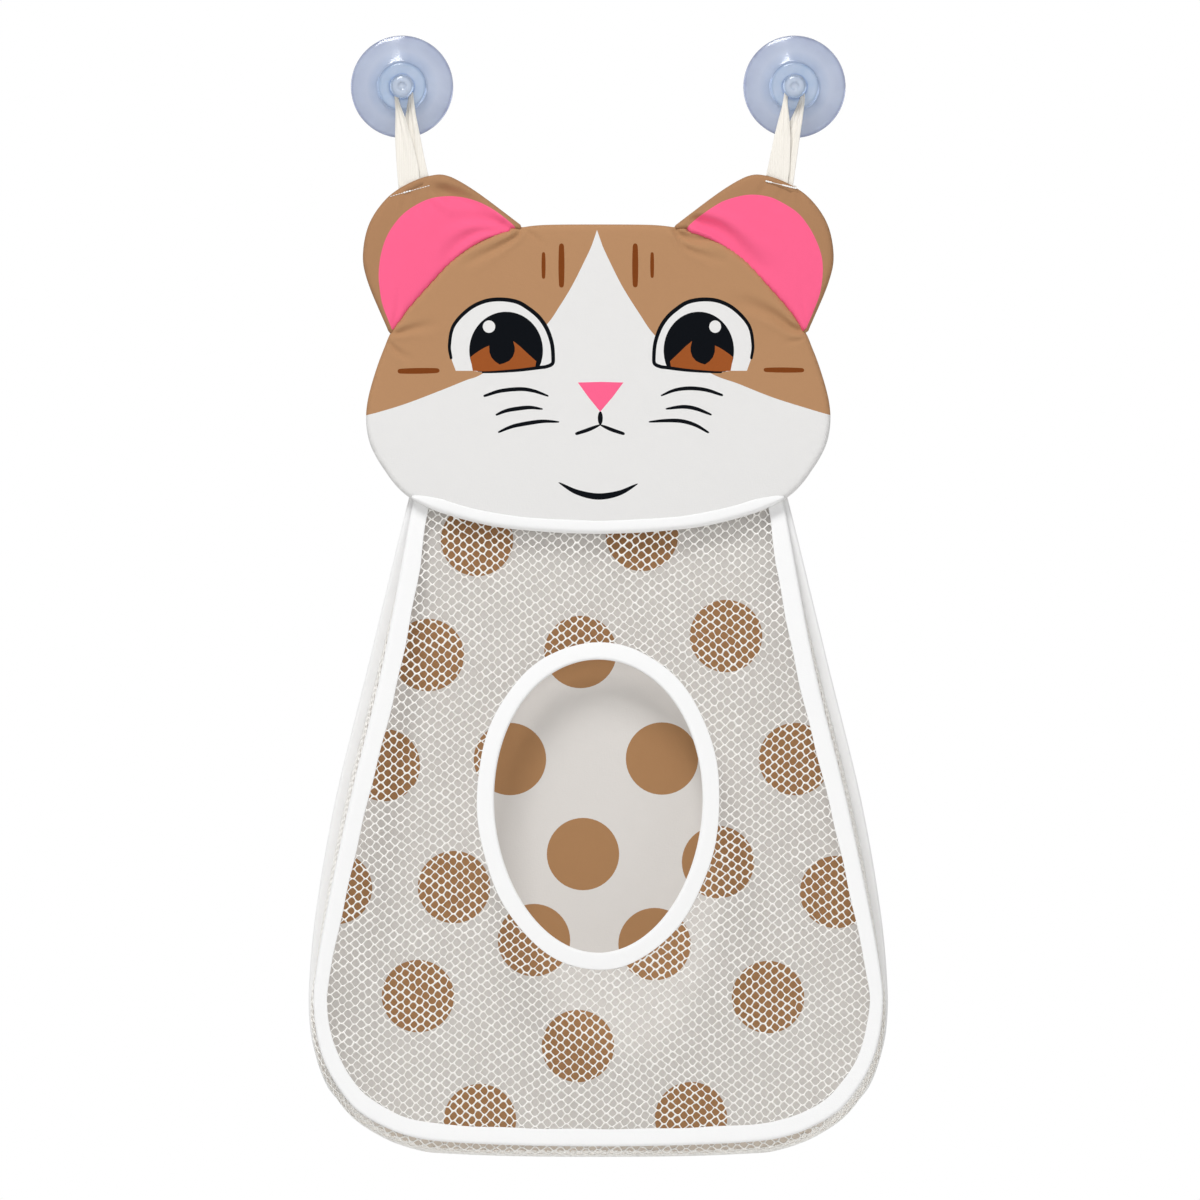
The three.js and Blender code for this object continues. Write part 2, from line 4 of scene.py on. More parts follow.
import bmesh
import bpy
import numpy as np
from mathutils.geometry import delaunay_2d_cdt
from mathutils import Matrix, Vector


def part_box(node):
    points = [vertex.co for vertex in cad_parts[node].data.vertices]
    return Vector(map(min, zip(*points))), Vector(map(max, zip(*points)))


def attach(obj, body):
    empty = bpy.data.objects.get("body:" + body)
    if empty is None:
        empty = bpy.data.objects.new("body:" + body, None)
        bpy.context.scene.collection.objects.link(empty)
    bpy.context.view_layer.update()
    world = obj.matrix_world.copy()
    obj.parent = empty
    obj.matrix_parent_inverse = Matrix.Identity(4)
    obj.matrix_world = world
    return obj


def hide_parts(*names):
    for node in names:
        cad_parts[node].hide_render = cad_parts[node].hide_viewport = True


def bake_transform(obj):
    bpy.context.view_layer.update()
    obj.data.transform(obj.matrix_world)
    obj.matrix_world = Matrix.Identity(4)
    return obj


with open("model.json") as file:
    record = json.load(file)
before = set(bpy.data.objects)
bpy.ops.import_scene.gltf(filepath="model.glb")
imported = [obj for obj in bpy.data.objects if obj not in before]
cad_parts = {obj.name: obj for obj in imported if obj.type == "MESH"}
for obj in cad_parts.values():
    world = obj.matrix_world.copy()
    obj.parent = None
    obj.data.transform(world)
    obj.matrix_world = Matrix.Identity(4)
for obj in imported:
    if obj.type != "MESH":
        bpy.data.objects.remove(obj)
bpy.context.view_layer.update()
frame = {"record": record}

# The view: the photograph looks straight at the wall from far away, so that a pixel is half a millimetre at
# any depth. Soft light comes from all round, with a little more from the upper left, and a pale floor lies
# below.
MM = 0.001
PIXEL = 0.5
WALL_PIXEL = (598.25, 86.75)
PHOTO_SIZE = 1200
VIEW_DISTANCE = 15.0
SENSOR = 36.0
FLOOR_DROP = 0.72
FLOOR_RADIUS = 2.5
SKY = 0.36
LAMPS = {
    "key": ((-0.7, -1.9, 2.4), 1.2, 70.0),
    "fill": ((1.9, -2.2, 0.1), 1.6, 6.0),
    "front": ((0.1, -4.2, 0.3), 1.8, 16.0),
    "back_left": ((-1.8, 2.3, 0.9), 1.6, 15.0),
    "back_right": ((1.8, 2.3, 0.2), 1.6, 10.0),
}


def from_photo(pixels):
    """Pixels of the photograph, as millimetres across and up from the point between the cups."""
    return (np.asarray(pixels, float) - WALL_PIXEL) * (PIXEL, -PIXEL)


view_x, view_z = from_photo((PHOTO_SIZE / 2, PHOTO_SIZE / 2)) * MM
camera = bpy.data.objects.new("camera", bpy.data.cameras.new("camera"))
bpy.context.scene.collection.objects.link(camera)
camera.location = (view_x, -VIEW_DISTANCE, view_z)
camera.rotation_euler = (math.pi / 2, 0, 0)
camera.data.sensor_width = SENSOR
camera.data.lens = SENSOR * VIEW_DISTANCE / (PHOTO_SIZE * PIXEL * MM)
camera.data.clip_end = 4 * VIEW_DISTANCE
bpy.context.scene.camera = camera
bpy.context.scene.view_settings.view_transform = "Standard"


class Shade:
    """A value or a colour over a surface. Sums written on it add Math nodes to its material."""

    def __init__(self, tree, socket=None):
        self.tree = tree
        self.socket = socket

    def node(self, kind, settings=None, sockets=None, out=0):
        """Adds a node, sets it up, then gives its sockets their values or links."""
        made = self.tree.nodes.new(kind)
        for name, value in (settings or {}).items():
            if name == "stops":
                stops = made.color_ramp.elements
                while len(stops) < len(value):
                    stops.new(1)
                for stop, (position, tone) in zip(stops, value):
                    stop.position = position
                    stop.color = tone
            else:
                setattr(made, name, value)
        for name, value in (sockets or {}).items():
            if isinstance(value, Shade):
                self.tree.links.new(value.socket, made.inputs[name])
            else:
                made.inputs[name].default_value = value
        return Shade(self.tree, made.outputs[out] if made.outputs else None)

    def sum(self, operation, first, second=0.0):
        return self.node("ShaderNodeMath", {"operation": operation}, {0: first, 1: second})

    def __add__(self, other):
        return self.sum("ADD", self, other)

    def __sub__(self, other):
        return self.sum("SUBTRACT", self, other)

    def __rsub__(self, other):
        return self.sum("SUBTRACT", other, self)

    def __mul__(self, other):
        return self.sum("MULTIPLY", self, other)

    def __pow__(self, other):
        return self.sum("POWER", self, other)

    def mix(self, first, second):
        """A colour between two, with this value as the share of the second."""
        return self.node("ShaderNodeMix", {"data_type": "RGBA"}, {0: self, 6: first, 7: second}, out=2)


def hue(code):
    """A colour written as in a paint chart, #RRGGBB, for Blender's sockets."""
    levels = [int(code[i:i + 2], 16) / 255 for i in (1, 3, 5)]
    return (*[c / 12.92 if c <= 0.04045 else ((c + 0.055) / 1.055) ** 2.4 for c in levels], 1.0)


def new_finish(name):
    """An empty material, and the shade that its nodes are added from."""
    finish = bpy.data.materials.new(name)
    finish.use_nodes = True
    finish.node_tree.nodes.clear()
    return finish, Shade(finish.node_tree)


world = bpy.data.worlds.new("studio")
bpy.context.scene.world = world
world.use_nodes = True
world.node_tree.nodes.clear()
studio = Shade(world.node_tree)
# What the camera sees, and what gloss and clear plastic show of it, is plain white. It lights with SKY.
seen = studio.node("ShaderNodeLightPath", out="Is Camera Ray")
mirrored_ray = studio.node("ShaderNodeLightPath", out="Is Glossy Ray")
through_ray = studio.node("ShaderNodeLightPath", out="Is Transmission Ray")
plain = studio.sum("MAXIMUM", seen, studio.sum("MAXIMUM", mirrored_ray, through_ray))
background = studio.node("ShaderNodeBackground", sockets={
    "Color": (1, 1, 1, 1),
    "Strength": plain * (1 - SKY) + SKY,
})
studio.node("ShaderNodeOutputWorld", sockets={"Surface": background})

aim = camera.location.copy()
aim.y = 0
for lamp_name, (place, size, power) in LAMPS.items():
    lamp = bpy.data.objects.new(lamp_name, bpy.data.lights.new(lamp_name, "AREA"))
    bpy.context.scene.collection.objects.link(lamp)
    lamp.data.size = size
    lamp.data.energy = power
    lamp.location = place
    lamp.rotation_euler = (aim - lamp.location).to_track_quat("-Z", "Y").to_euler()

floor_mesh = bpy.data.meshes.new("floor")
floor_build = bmesh.new()
bmesh.ops.create_circle(floor_build, cap_ends=True, segments=64, radius=FLOOR_RADIUS)
floor_build.to_mesh(floor_mesh)
floor = bpy.data.objects.new("floor", floor_mesh)
bpy.context.scene.collection.objects.link(floor)
floor.location.z = -FLOOR_DROP
floor_paint, ground = new_finish("floor_paint")
pale = ground.node("ShaderNodeBsdfDiffuse", sockets={"Color": hue("#f4f4f3")})
clear = ground.node("ShaderNodeBsdfTransparent")
below = ground.node("ShaderNodeNewGeometry", out="Backfacing")
ground.node("ShaderNodeOutputMaterial", sockets={
    "Surface": ground.node("ShaderNodeMixShader", sockets={0: below, 1: pale, 2: clear}),
})
floor_mesh.materials.append(floor_paint)

# Suction cups: one moulding each of clear soft PVC. A thin bell carries a thick hub, and a mushroom knob on
# a short neck holds the tape. The hub is bluer than the bell, since more plastic lies behind it.
SIDES = (("left", -1), ("right", 1))
cup_low, cup_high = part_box("right_suction_cup")
CUP_X = (cup_high.x / MM + cup_low.x / MM) / 2
BELL_RADIUS = (cup_high.x - cup_low.x) / MM / 2
CUP_SIDES = 96
MERGE = 0.002
CUP_PROFILE = [
    (0, 2.4), (7, 2.5), (12, 2.2), (18, 1.5), (22.8, 0.3), (23.6, 0), (25.2, 0), (25.6, 0.3), (25.55, 0.8),
    (25.1, 1.15), (23.6, 1.7), (20, 2.8), (16, 4.1), (13.6, 5.0), (12.6, 5.4), (12.25, 5.9), (12.1, 7.4),
    (11.9, 8.1), (11.3, 8.55), (10.4, 8.65), (8.2, 8.7), (6.6, 8.8), (5.6, 9.0), (4.6, 9.3), (3.9, 9.7),
    (3.6, 10.4), (3.6, 13.0), (3.8, 13.75), (4.5, 14.0), (5.5, 14.1), (6.0, 14.6), (6.1, 15.4), (6.0, 17.0),
    (5.6, 18.2), (4.8, 18.9), (3.6, 19.35), (2.2, 19.5), (1.9, 19.2), (1.5, 18.9), (0, 18.8),
]
CUP_TONES = [
    (0.0, "#c9d3df"), (0.165, "#bfcddf"), (0.205, "#a2bcdc"), (0.225, "#4a86c2"), (0.247, "#3f7cc0"),
    (0.268, "#96b2d3"), (0.42, "#a2bbd8"), (0.452, "#7f9fc6"), (0.468, "#6488ba"), (0.49, "#9fb1d0"),
    (0.7, "#c1c9dc"), (0.93, "#aeb6ce"), (0.975, "#8288ae"), (1.0, "#9fa6c2"),
]


def piece(name, points, faces, finishes, body, nodes, smooth=True, tints=None):
    """A mesh from points in millimetres, riding on a body and standing for CAD nodes. Tints give each face
    the number of its finish."""
    mesh = bpy.data.meshes.new(name)
    mesh.from_pydata(np.asarray(points, float) * MM, [], [list(map(int, face)) for face in faces])
    if tints is not None:
        mesh.polygons.foreach_set("material_index", np.asarray(tints, np.int32))
    build = bmesh.new()
    build.from_mesh(mesh)
    bmesh.ops.remove_doubles(build, verts=build.verts, dist=MERGE * MM)
    bmesh.ops.recalc_face_normals(build, faces=build.faces)
    build.to_mesh(mesh)
    build.free()
    for finish in finishes:
        mesh.materials.append(finish)
    mesh.polygons.foreach_set("use_smooth", [smooth] * len(mesh.polygons))
    made = bpy.data.objects.new(name, mesh)
    bpy.context.scene.collection.objects.link(made)
    if body:
        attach(made, body)
    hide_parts(*nodes)
    return made


def coat(shade, **sockets):
    """Ends a finish: its surface, with the sockets' names written with _ for a space."""
    values = {name.replace("_", " "): value for name, value in sockets.items()}
    surface = shade.node("ShaderNodeBsdfPrincipled", sockets=values)
    shade.node("ShaderNodeOutputMaterial", sockets={"Surface": surface})


def on_axis(place, axis):
    """How far a place lies along X, Y or Z, in millimetres."""
    return place.node("ShaderNodeSeparateXYZ", sockets={0: place}, out=axis) * (1 / MM)


def noise(place, scale, detail=2.0):
    """Soft spots, as many to a metre as the scale says."""
    return place.node("ShaderNodeTexNoise", sockets={"Vector": place, "Scale": scale, "Detail": detail})


def relief(height, strength, depth):
    """The slope of a finely uneven surface, for its Normal socket. The depth is in millimetres."""
    sockets = {"Height": height, "Strength": strength, "Distance": depth * MM}
    return height.node("ShaderNodeBump", sockets=sockets)


def clear_plastic(name, centre_x):
    """Clear PVC, cloudy and bluish, with the tones of the cup from its axis to its rim."""
    finish, shade = new_finish(name)
    place = shade.node("ShaderNodeTexCoord", out="Object")
    across, up = on_axis(place, "X") - centre_x, on_axis(place, "Z")
    from_axis = (across * across + up * up) ** 0.5 * (1 / BELL_RADIUS)
    stops = [(at, hue(tone)) for at, tone in CUP_TONES]
    tone = shade.node("ShaderNodeValToRGB", {"stops": stops}, {"Fac": from_axis})
    cloudy = noise(place, 140.0)
    coat(shade, Base_Color=cloudy.mix(tone, hue("#c3cde0")), Roughness=0.14, IOR=1.5, Specular_IOR_Level=0.3,
         Transmission_Weight=0.6, Coat_Weight=0.12, Coat_Roughness=0.1, Normal=relief(cloudy, 0.12, 0.4))
    return finish


def angles(sides):
    """Angles evenly spaced round a circle."""
    return 2 * math.pi * np.arange(sides) / sides


def loft(rings, closed=False):
    """Points and faces through rings of equal counts of points. The run of rings has ends or is closed."""
    count = len(rings[0])
    points = np.concatenate(rings)
    faces = []
    for i in range(len(rings) if closed else len(rings) - 1):
        here, after = i * count, (i + 1) % len(rings) * count
        for j in range(count):
            k = (j + 1) % count
            faces.append((here + j, here + k, after + k, after + j))
    if not closed:
        faces.append(tuple(range(count)))
        faces.append(tuple(range(len(points) - 1, len(points) - count - 1, -1)))
    return points, faces


def lathe(profile, sides, centre_x):
    """Points and faces of a profile of radius and depth from the wall, turned about an axis along Y. Its
    ends lie on the axis."""
    rings = [[(centre_x + r * math.cos(t), -out, r * math.sin(t)) for t in angles(sides)]
             for r, out in profile[1:-1]]
    points, faces = loft(rings)
    ends = [(centre_x, -profile[end][1], 0) for end in (0, -1)]
    fans = [(*side, len(points) + end) for end, cap in enumerate(faces[-2:])
            for side in zip(cap, cap[1:] + cap[:1])]
    return np.concatenate([points, ends]), faces[:-2] + fans


for side, sign in SIDES:
    cup_points, cup_faces = lathe(CUP_PROFILE, CUP_SIDES, sign * CUP_X)
    plastic = clear_plastic(f"{side}_clear_plastic", sign * CUP_X)
    piece(f"{side}_cup", cup_points, cup_faces, [plastic], "suction_cups",
          [f"{side}_suction_cup"])

# Tape loops: cream woven tape, folded in half and sewn into the ear. Its two plies part above the ear, turn
# edge-on, and meet over the neck of the knob, where the tape is bunched. Fine ribs run along the tape.
TAPE_THICKNESS = 0.55
TAPE_APART = 0.1
TAPE_POINTS = 27
ARCH_RADIUS = 4.33
ARCH_STEPS = 17
GATHERED_WIDTH = 3.9
GATHER_WAVE = 0.4
GATHER_END = 42.0
LEG_STEPS = 44
HANG_DEPTH = 11.65
DROPS = (0, 5, 10, 16, 25, 34, 42, 54)
FULL_WIDTHS = (3.9, 4.1, 4.9, 6.2, 8.3, 9.9, 11.0, 11.3)
SEEN_WIDTHS = (0, 1.2, 2.8, 5.1, 8.0, 9.8, 10.9, 11.2)
OUTER_EDGES = {
    "left": ((-5.0, -4.6, -5.1, -5.7, -6.8, -7.4, -7.9, -8.6), (5.0, 5.2, 5.1, 5.2, 5.85, 6.35, 7.0, 7.8)),
    "right": ((-5.0, -4.9, -5.4, -6.0, -6.85, -7.5, -8.0, -8.7), (5.0, 5.9, 6.1, 6.1, 5.9, 5.8, 5.7, 5.6)),
}
JOINTS = {joint["name"]: joint["pos_m"] for joint in frame["record"]["behaviour"]["joints"]}
ENTRY = JOINTS["right_foot_turn"]
LOOP_LENGTH = math.hypot(CUP_X - ENTRY[0] / MM, ENTRY[2] / MM)
LOOP_LEAN = math.atan2(CUP_X - ENTRY[0] / MM, -ENTRY[2] / MM)
TUCK = 1.3
RIM_SLANT = 0.28
SLANT_RUN = 8.0
RIBS = 2 * math.pi / 0.9
BLEND_RISE = 9


def run_of(line):
    """How far along a line each of its points lies."""
    return np.concatenate([[0], np.cumsum(np.linalg.norm(np.diff(line, axis=0), axis=1))])


def points_at(places, run, line):
    """The points of a line at some distances along it."""
    return np.stack([np.interp(places, run, column) for column in line.T], axis=1)


def spline(points, step, closed=False):
    """Evenly spaced points on a smooth line through given ones."""
    points = np.asarray(points, float)
    if closed:
        held = np.concatenate([points[-1:], points, points[:2]])
    else:
        held = np.concatenate([2 * points[:1] - points[1:2], points, 2 * points[-1:] - points[-2:-1]])
    shares = np.linspace(0, 1, 12, endpoint=False)[:, None]
    dense = []
    for a, b, c, d in zip(held, held[1:], held[2:], held[3:]):
        t, t2, t3 = shares, shares ** 2, shares ** 3
        curve = 2 * b + (c - a) * t + (2 * a - 5 * b + 4 * c - d) * t2 + (3 * b - a - 3 * c + d) * t3
        dense.append(curve / 2)
    dense = np.concatenate(dense + [held[-2:-1]])
    run = run_of(dense)
    count = max(3, round(run[-1] / step))
    line = points_at(np.linspace(0, run[-1], count + 1), run, dense)
    return line[:-1] if closed else line


def woven_tape(name):
    """Ribbed tape: fine ribs along it, faint threads across and a soft sheen."""
    finish, shade = new_finish(name)
    place = shade.node("ShaderNodeTexCoord", out="Object")
    ribs = shade.sum("SINE", on_axis(place, "X") * RIBS) * 0.5 + 0.5
    threads = noise(place, 1500.0)
    colour = (ribs * 0.5 + threads * 0.3).mix(hue("#ebe6dc"), hue("#f7f3ec"))
    normal = relief(ribs * 0.6 + threads * 0.5, 0.5, 0.25)
    coat(shade, Base_Color=colour, Roughness=0.9, Sheen_Weight=0.25, Normal=normal)
    return finish


def eased(share):
    """A share from 0 to 1 that starts and ends gently."""
    return share * share * (3 - 2 * share)


def tape_section(width, wave):
    """The tape cut across: a strip that is bunched into waves where it is gathered."""
    u = np.linspace(-0.5, 0.5, TAPE_POINTS)
    through = wave * np.sin(u * 5 * math.pi + 0.4) + 0.06 * np.sin(u * 23)
    upper = np.stack([u * width, through + TAPE_THICKNESS / 2], axis=1)
    lower = np.stack([u * width, through - TAPE_THICKNESS / 2], axis=1)
    return np.concatenate([upper, lower[::-1]])


def ply_ring(drop, ply, side):
    """A ring of one ply at its drop below the neck. Ply -1 is the left and front one."""
    edge = np.interp(drop, DROPS, OUTER_EDGES[side][ply > 0])
    seen_width = np.interp(drop, DROPS, SEEN_WIDTHS)
    full_width = np.interp(drop, DROPS, FULL_WIDTHS)
    share = eased(min(1.0, drop / GATHER_END))
    turn = math.acos(seen_width / full_width)
    wave = GATHER_WAVE * (1 - share) ** 0.7
    section = tape_section(full_width, wave)
    across = np.array([math.cos(turn), -math.sin(turn), 0])
    through = np.array([-math.sin(turn), -math.cos(turn), 0]) * -ply
    edge -= ply * (wave + TAPE_THICKNESS / 2) * math.sin(turn)
    deep = ply * share * (TAPE_THICKNESS + TAPE_APART) / 2
    centre = np.array([edge - ply * seen_width / 2, deep - HANG_DEPTH, -drop])
    ring = centre + section[:, :1] * across + section[:, 1:] * through
    slant = RIM_SLANT * max(0.0, (drop - LOOP_LENGTH) / SLANT_RUN + 1)
    ring[:, 2] += ring[:, 0] * (slant if side == "left" else -slant)
    return ring


def arch_ring(angle):
    """A ring of the bunched tape over the neck of the knob."""
    out = np.array([-math.cos(angle), 0, math.sin(angle)])
    section = tape_section(GATHERED_WIDTH, GATHER_WAVE)
    return out * ARCH_RADIUS - (0, HANG_DEPTH, 0) - section[:, :1] * (0, 1, 0) + section[:, 1:] * out


def on_loop(points, sign):
    """Leans a loop's own points towards the ear and hangs them on the left or the right knob."""
    c, s = math.cos(LOOP_LEAN), math.sin(LOOP_LEAN)
    x, y, z = points.T
    return np.stack([sign * CUP_X + x * c + sign * z * s, y, z * c - sign * x * s], axis=1)


leg_drops = np.linspace(LOOP_LENGTH + TUCK, 0, LEG_STEPS, endpoint=False)
cream_tape = woven_tape("cream_tape")
for side, sign in SIDES:
    rings = [ply_ring(drop, -1, side) for drop in leg_drops]
    rings += [arch_ring(angle) for angle in np.linspace(0, math.pi, ARCH_STEPS)]
    rings += [ply_ring(drop, 1, side) for drop in leg_drops[::-1]]
    points, faces = loft([on_loop(ring, sign) for ring in rings])
    loop = piece(f"{side}_tape_loop", points, faces, [cream_tape], None,
                 [f"{side}_loop", f"{side}_loop_foot"])
    top = (sign * ENTRY[0], ENTRY[1], ENTRY[2] + BLEND_RISE * MM)
    sign * ENTRY[0]
    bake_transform(loop)

# Head: two plies of printed cotton sewn face to face, turned right side out and lightly padded, so the
# front one rolls over at the rim and swells a little. It puckers where the ears' seams end.
RIM_Y = -11.65
CLOTH_ROOM = 0.35
HEAD_FRONT_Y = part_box("head_front_panel")[0].y / MM + CLOTH_ROOM
HEAD_BACK_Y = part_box("head_back_panel")[1].y / MM
FILL_Y = -10.4
CLOTH = 0.5
LINING = 0.6
WADDING = 0.9
ROLL = 3.2
TURNED_RIM = ((0.25, 0.7), (1.5, 1.45), (3.5, 1.6))
CORNER_ROOM = 6
LEAST_ROOM = 0.06
LIFTED_SHARE = 0.85
LIFTED_RUN = 1.3
SWELL = 1.5
SWELL_RUN = 22.0
WAVE = 0.25
WAVE_RUNS = (13.0, 29.0)
CLOTH_STEP = 1.3
ROW_SHARE = 0.866
EDGE_ROOM = 0.3
OUTLINE_STEP = 1.2
FLATNESS = 0.02
SHARP = math.radians(30)
BROWN = "#b38863"
EAR_BROWN = "#aa805d"
WHITE = "#e4e3e2"
STRIPE = "#7a3e16"
INK = "#04070d"
PINK = "#ff648e"
IRIS = "#9a5225"
MASK_STEP = 3
EYE_STEP = 1.5
EYE_CENTRES = (501.5, 703.2)
RIGHT_EYE_SIZE = 0.955
MASK = [
    (597, 230.3), (591.6, 246), (585.4, 259.5), (572.1, 286), (558.9, 307.6), (547.3, 324.2), (524, 347),
    (482.6, 373.9), (466, 380.5), (439.5, 391.2), (406.3, 403.8), (379.8, 412), (366.5, 415.4), (340, 422),
]
MASK_FOOT = [(340, 600), (860, 600)]
MASK_RIGHT = [
    (860, 422), (830.8, 415.4), (804.3, 407.7), (771.1, 397.1), (738, 383.9), (711.4, 373.9), (678, 352),
    (655, 335.8), (638.5, 312.6), (621.9, 286), (608.6, 259.5), (602.4, 246),
]
EYE = [
    (451.2, 358.3), (449.6, 345.4), (453.6, 326.2), (467.8, 310.4), (483.8, 301.9), (500.5, 299.7),
    (517.3, 302.3), (529.8, 309.6), (539.6, 318.2), (547, 329.3), (551.9, 343.6), (553.2, 357.9),
    (552.3, 364.1), (546, 367), (540.7, 367.7), (519.3, 370.4), (496.1, 372.1), (482.7, 372.6),
]
EYE_CORNER = [(472.9, 371), (455.9, 371)]
LID = (2.8, 4.1, 1.6)
PUPIL = ((506.2, 350.8), 36.8, 38.8)
IRIS_EDGE = [
    (470.4, 357.6), (474, 354.5), (480, 350.5), (485, 347.6), (489.3, 345.8), (489.5, 352.3),
    (491.4, 357.4), (495, 361.6), (499.7, 364.7), (504.4, 363.4), (509.4, 361), (513, 356.8),
    (514.8, 351.7), (514.8, 347.2), (513.2, 341.2), (520, 346.5), (528, 354), (536.3, 361.4),
    (535.4, 366.8), (519, 369.6), (496, 371.2), (482, 371.6), (472.9, 371),
]
GLINT = ((489.1, 326.9), 6.2, 6.2)
NOSE = [(577.8, 382.7), (600.5, 382.1), (623.4, 382.7), (612.4, 397.6), (600.2, 411.9), (588.6, 397.6)]
MOUTH = ((600.3, 418.3), 2.5, 6.8)
STROKES = [
    ([(600.2, 425), (588, 430), (576.6, 433.8)], 0.9, 3.7, 3.0),
    ([(600.2, 425), (612, 430), (623.4, 433.8)], 0.9, 3.7, 3.0),
    ([(558.9, 482.7), (577, 492.2), (598, 496.6), (619, 493.2), (637.5, 484)], 0.7, 6.4, 0.7),
    ([(484.6, 396.1), (500.4, 391.2), (520.3, 389.3), (534, 391.2), (547.9, 396.1)], 2.4, 4.0, 1.6),
    ([(496.6, 414.9), (505.5, 411.2), (515.7, 409.1), (530, 407.7), (542.2, 409.2)], 2.0, 4.1, 1.4),
    ([(498.9, 432.3), (508.1, 428.2), (518.3, 425.2), (541.2, 421.6), (558.6, 422.1)], 1.8, 4.1, 1.4),
    ([(661.4, 395.7), (674.6, 390.4), (689.6, 388.5), (706.1, 390.2), (721.9, 395.3)], 1.5, 3.9, 2.4),
    ([(666.3, 409), (682.9, 407), (696.2, 409), (710.8, 414.8)], 1.6, 3.9, 1.8),
    ([(649.4, 422), (666, 420.8), (681.6, 421.3), (695.6, 425.4), (708.1, 432.6)], 1.4, 3.9, 2.0),
]
STRIPES = [
    ([(543.6, 254), (543.6, 277.6)], 4.0), ([(561.5, 246), (561.5, 285.6)], 6.0),
    ([(635.2, 246), (635.2, 285.4)], 6.0), ([(652.1, 254), (652.1, 276.8)], 3.8),
    ([(400, 371.4), (437.5, 370.8)], 5.8), ([(765.5, 370.1), (802, 370.4)], 5.2),
]
BROW_Z = -73.0
BROW_HALF = 37.0
BROW_RISE = 1.1
FOLD_LIMIT = 2.2
FOLD_START = 1.5
FOLD_STEP = 0.8
HEAD_FOLDS = [
    ([(522, 228), (516, 236.5), (497.5, 248), (481, 256.4), (462, 266)], 2.4, 2.6),
    ([(524, 229), (535.7, 238), (544, 248)], 1.8, 1.1),
    ([(391, 333.5), (399.7, 332.7), (414.6, 328.5), (434, 325)], 2.4, 2.2),
    ([(389.5, 342), (396.4, 350.9), (410, 360)], 2.0, 1.5),
    ([(809, 333), (790.7, 327.7), (774, 316), (757.5, 307.8), (738, 300)], 3.2, 4.0),
    ([(807, 337), (798, 340.5), (784, 343)], 1.6, 1.0),
    ([(672, 227.4), (679.6, 234.8), (692.9, 239), (712, 241)], 2.6, 4.2),
    ([(676, 236), (686, 248), (706, 256.4), (726, 262)], 2.2, 1.6),
]


def rim_of(faces):
    """The rim of some faces, as their corners in order."""
    sides = {side for face in faces for side in zip(face, face[1:] + face[:1])}
    after = {a: b for a, b in sides if (b, a) not in sides}
    ring = [min(after)]
    while after[ring[-1]] != ring[0]:
        ring.append(after[ring[-1]])
    return ring


def cad_outline(node):
    """The outline of a flat CAD plate: a loop of points across and up round its rear face."""
    plate = bpy.data.objects[node]
    places = [plate.matrix_world @ v.co / MM for v in plate.data.vertices]
    rear = max(place.y for place in places) - FLATNESS
    faces = [[(round(places[i].x, 2), round(places[i].z, 2)) for i in face.vertices]
             for face in plate.data.polygons if min(places[i].y for i in face.vertices) > rear]
    return np.array(rim_of(faces))


def in_space(flat, y):
    """Flat points across and up, put at a depth."""
    return np.stack([flat[:, 0], np.broadcast_to(y, len(flat)), flat[:, 1]], axis=1)


def left_of(line, closed=False):
    """Unit vectors to the left of a line."""
    run = np.roll(line, -1, axis=0) - np.roll(line, 1, axis=0) if closed else np.gradient(line, axis=0)
    return np.stack([-run[:, 1], run[:, 0]], axis=1) / np.maximum(np.hypot(*run.T), 1e-9)[:, None]


def corners_of(loop):
    """The numbers of a loop's points where it turns sharply."""
    before, after = loop - np.roll(loop, 1, axis=0), np.roll(loop, -1, axis=0) - loop
    turn = np.arctan2(before[:, 0] * after[:, 1] - before[:, 1] * after[:, 0], (before * after).sum(axis=1))
    return np.flatnonzero(np.abs(turn) > SHARP)


def smoothed(loop, step):
    """A loop with its sharp corners kept and the rest drawn as smooth lines."""
    corners = corners_of(loop)
    if not len(corners):
        return spline(loop, step, closed=True)
    loop = np.roll(loop, -corners[0], axis=0)
    corners = [*(corners - corners[0]), len(loop)]
    loop = np.concatenate([loop, loop[:1]])
    return np.concatenate([spline(loop[a:b + 1], step)[:-1] for a, b in zip(corners, corners[1:])])


def inside(points, loop):
    """Which points lie inside a loop."""
    x, y = points[:, :1], points[:, 1:]
    ax, ay = np.asarray(loop, float).T
    bx, by = np.roll(ax, -1), np.roll(ay, -1)
    crossed = ((ay > y) != (by > y)) & (x < ax + (y - ay) * (bx - ax) / np.where(by == ay, 1, by - ay))
    return crossed.sum(axis=1) % 2 == 1


def edge_distance(points, loop, closed=True):
    """How far points lie from the nearest side of a loop or of an open line."""
    starts = np.asarray(loop, float)
    ends = np.roll(starts, -1, axis=0)
    if not closed:
        starts, ends = starts[:-1], ends[:-1]
    nearest = np.full(len(points), 1e9)
    for a, b in zip(starts, ends):
        run = b - a
        share = np.clip((points - a) @ run / max(run @ run, 1e-9), 0, 1)
        nearest = np.minimum(nearest, np.hypot(*(points - a - share[:, None] * run).T))
    return nearest


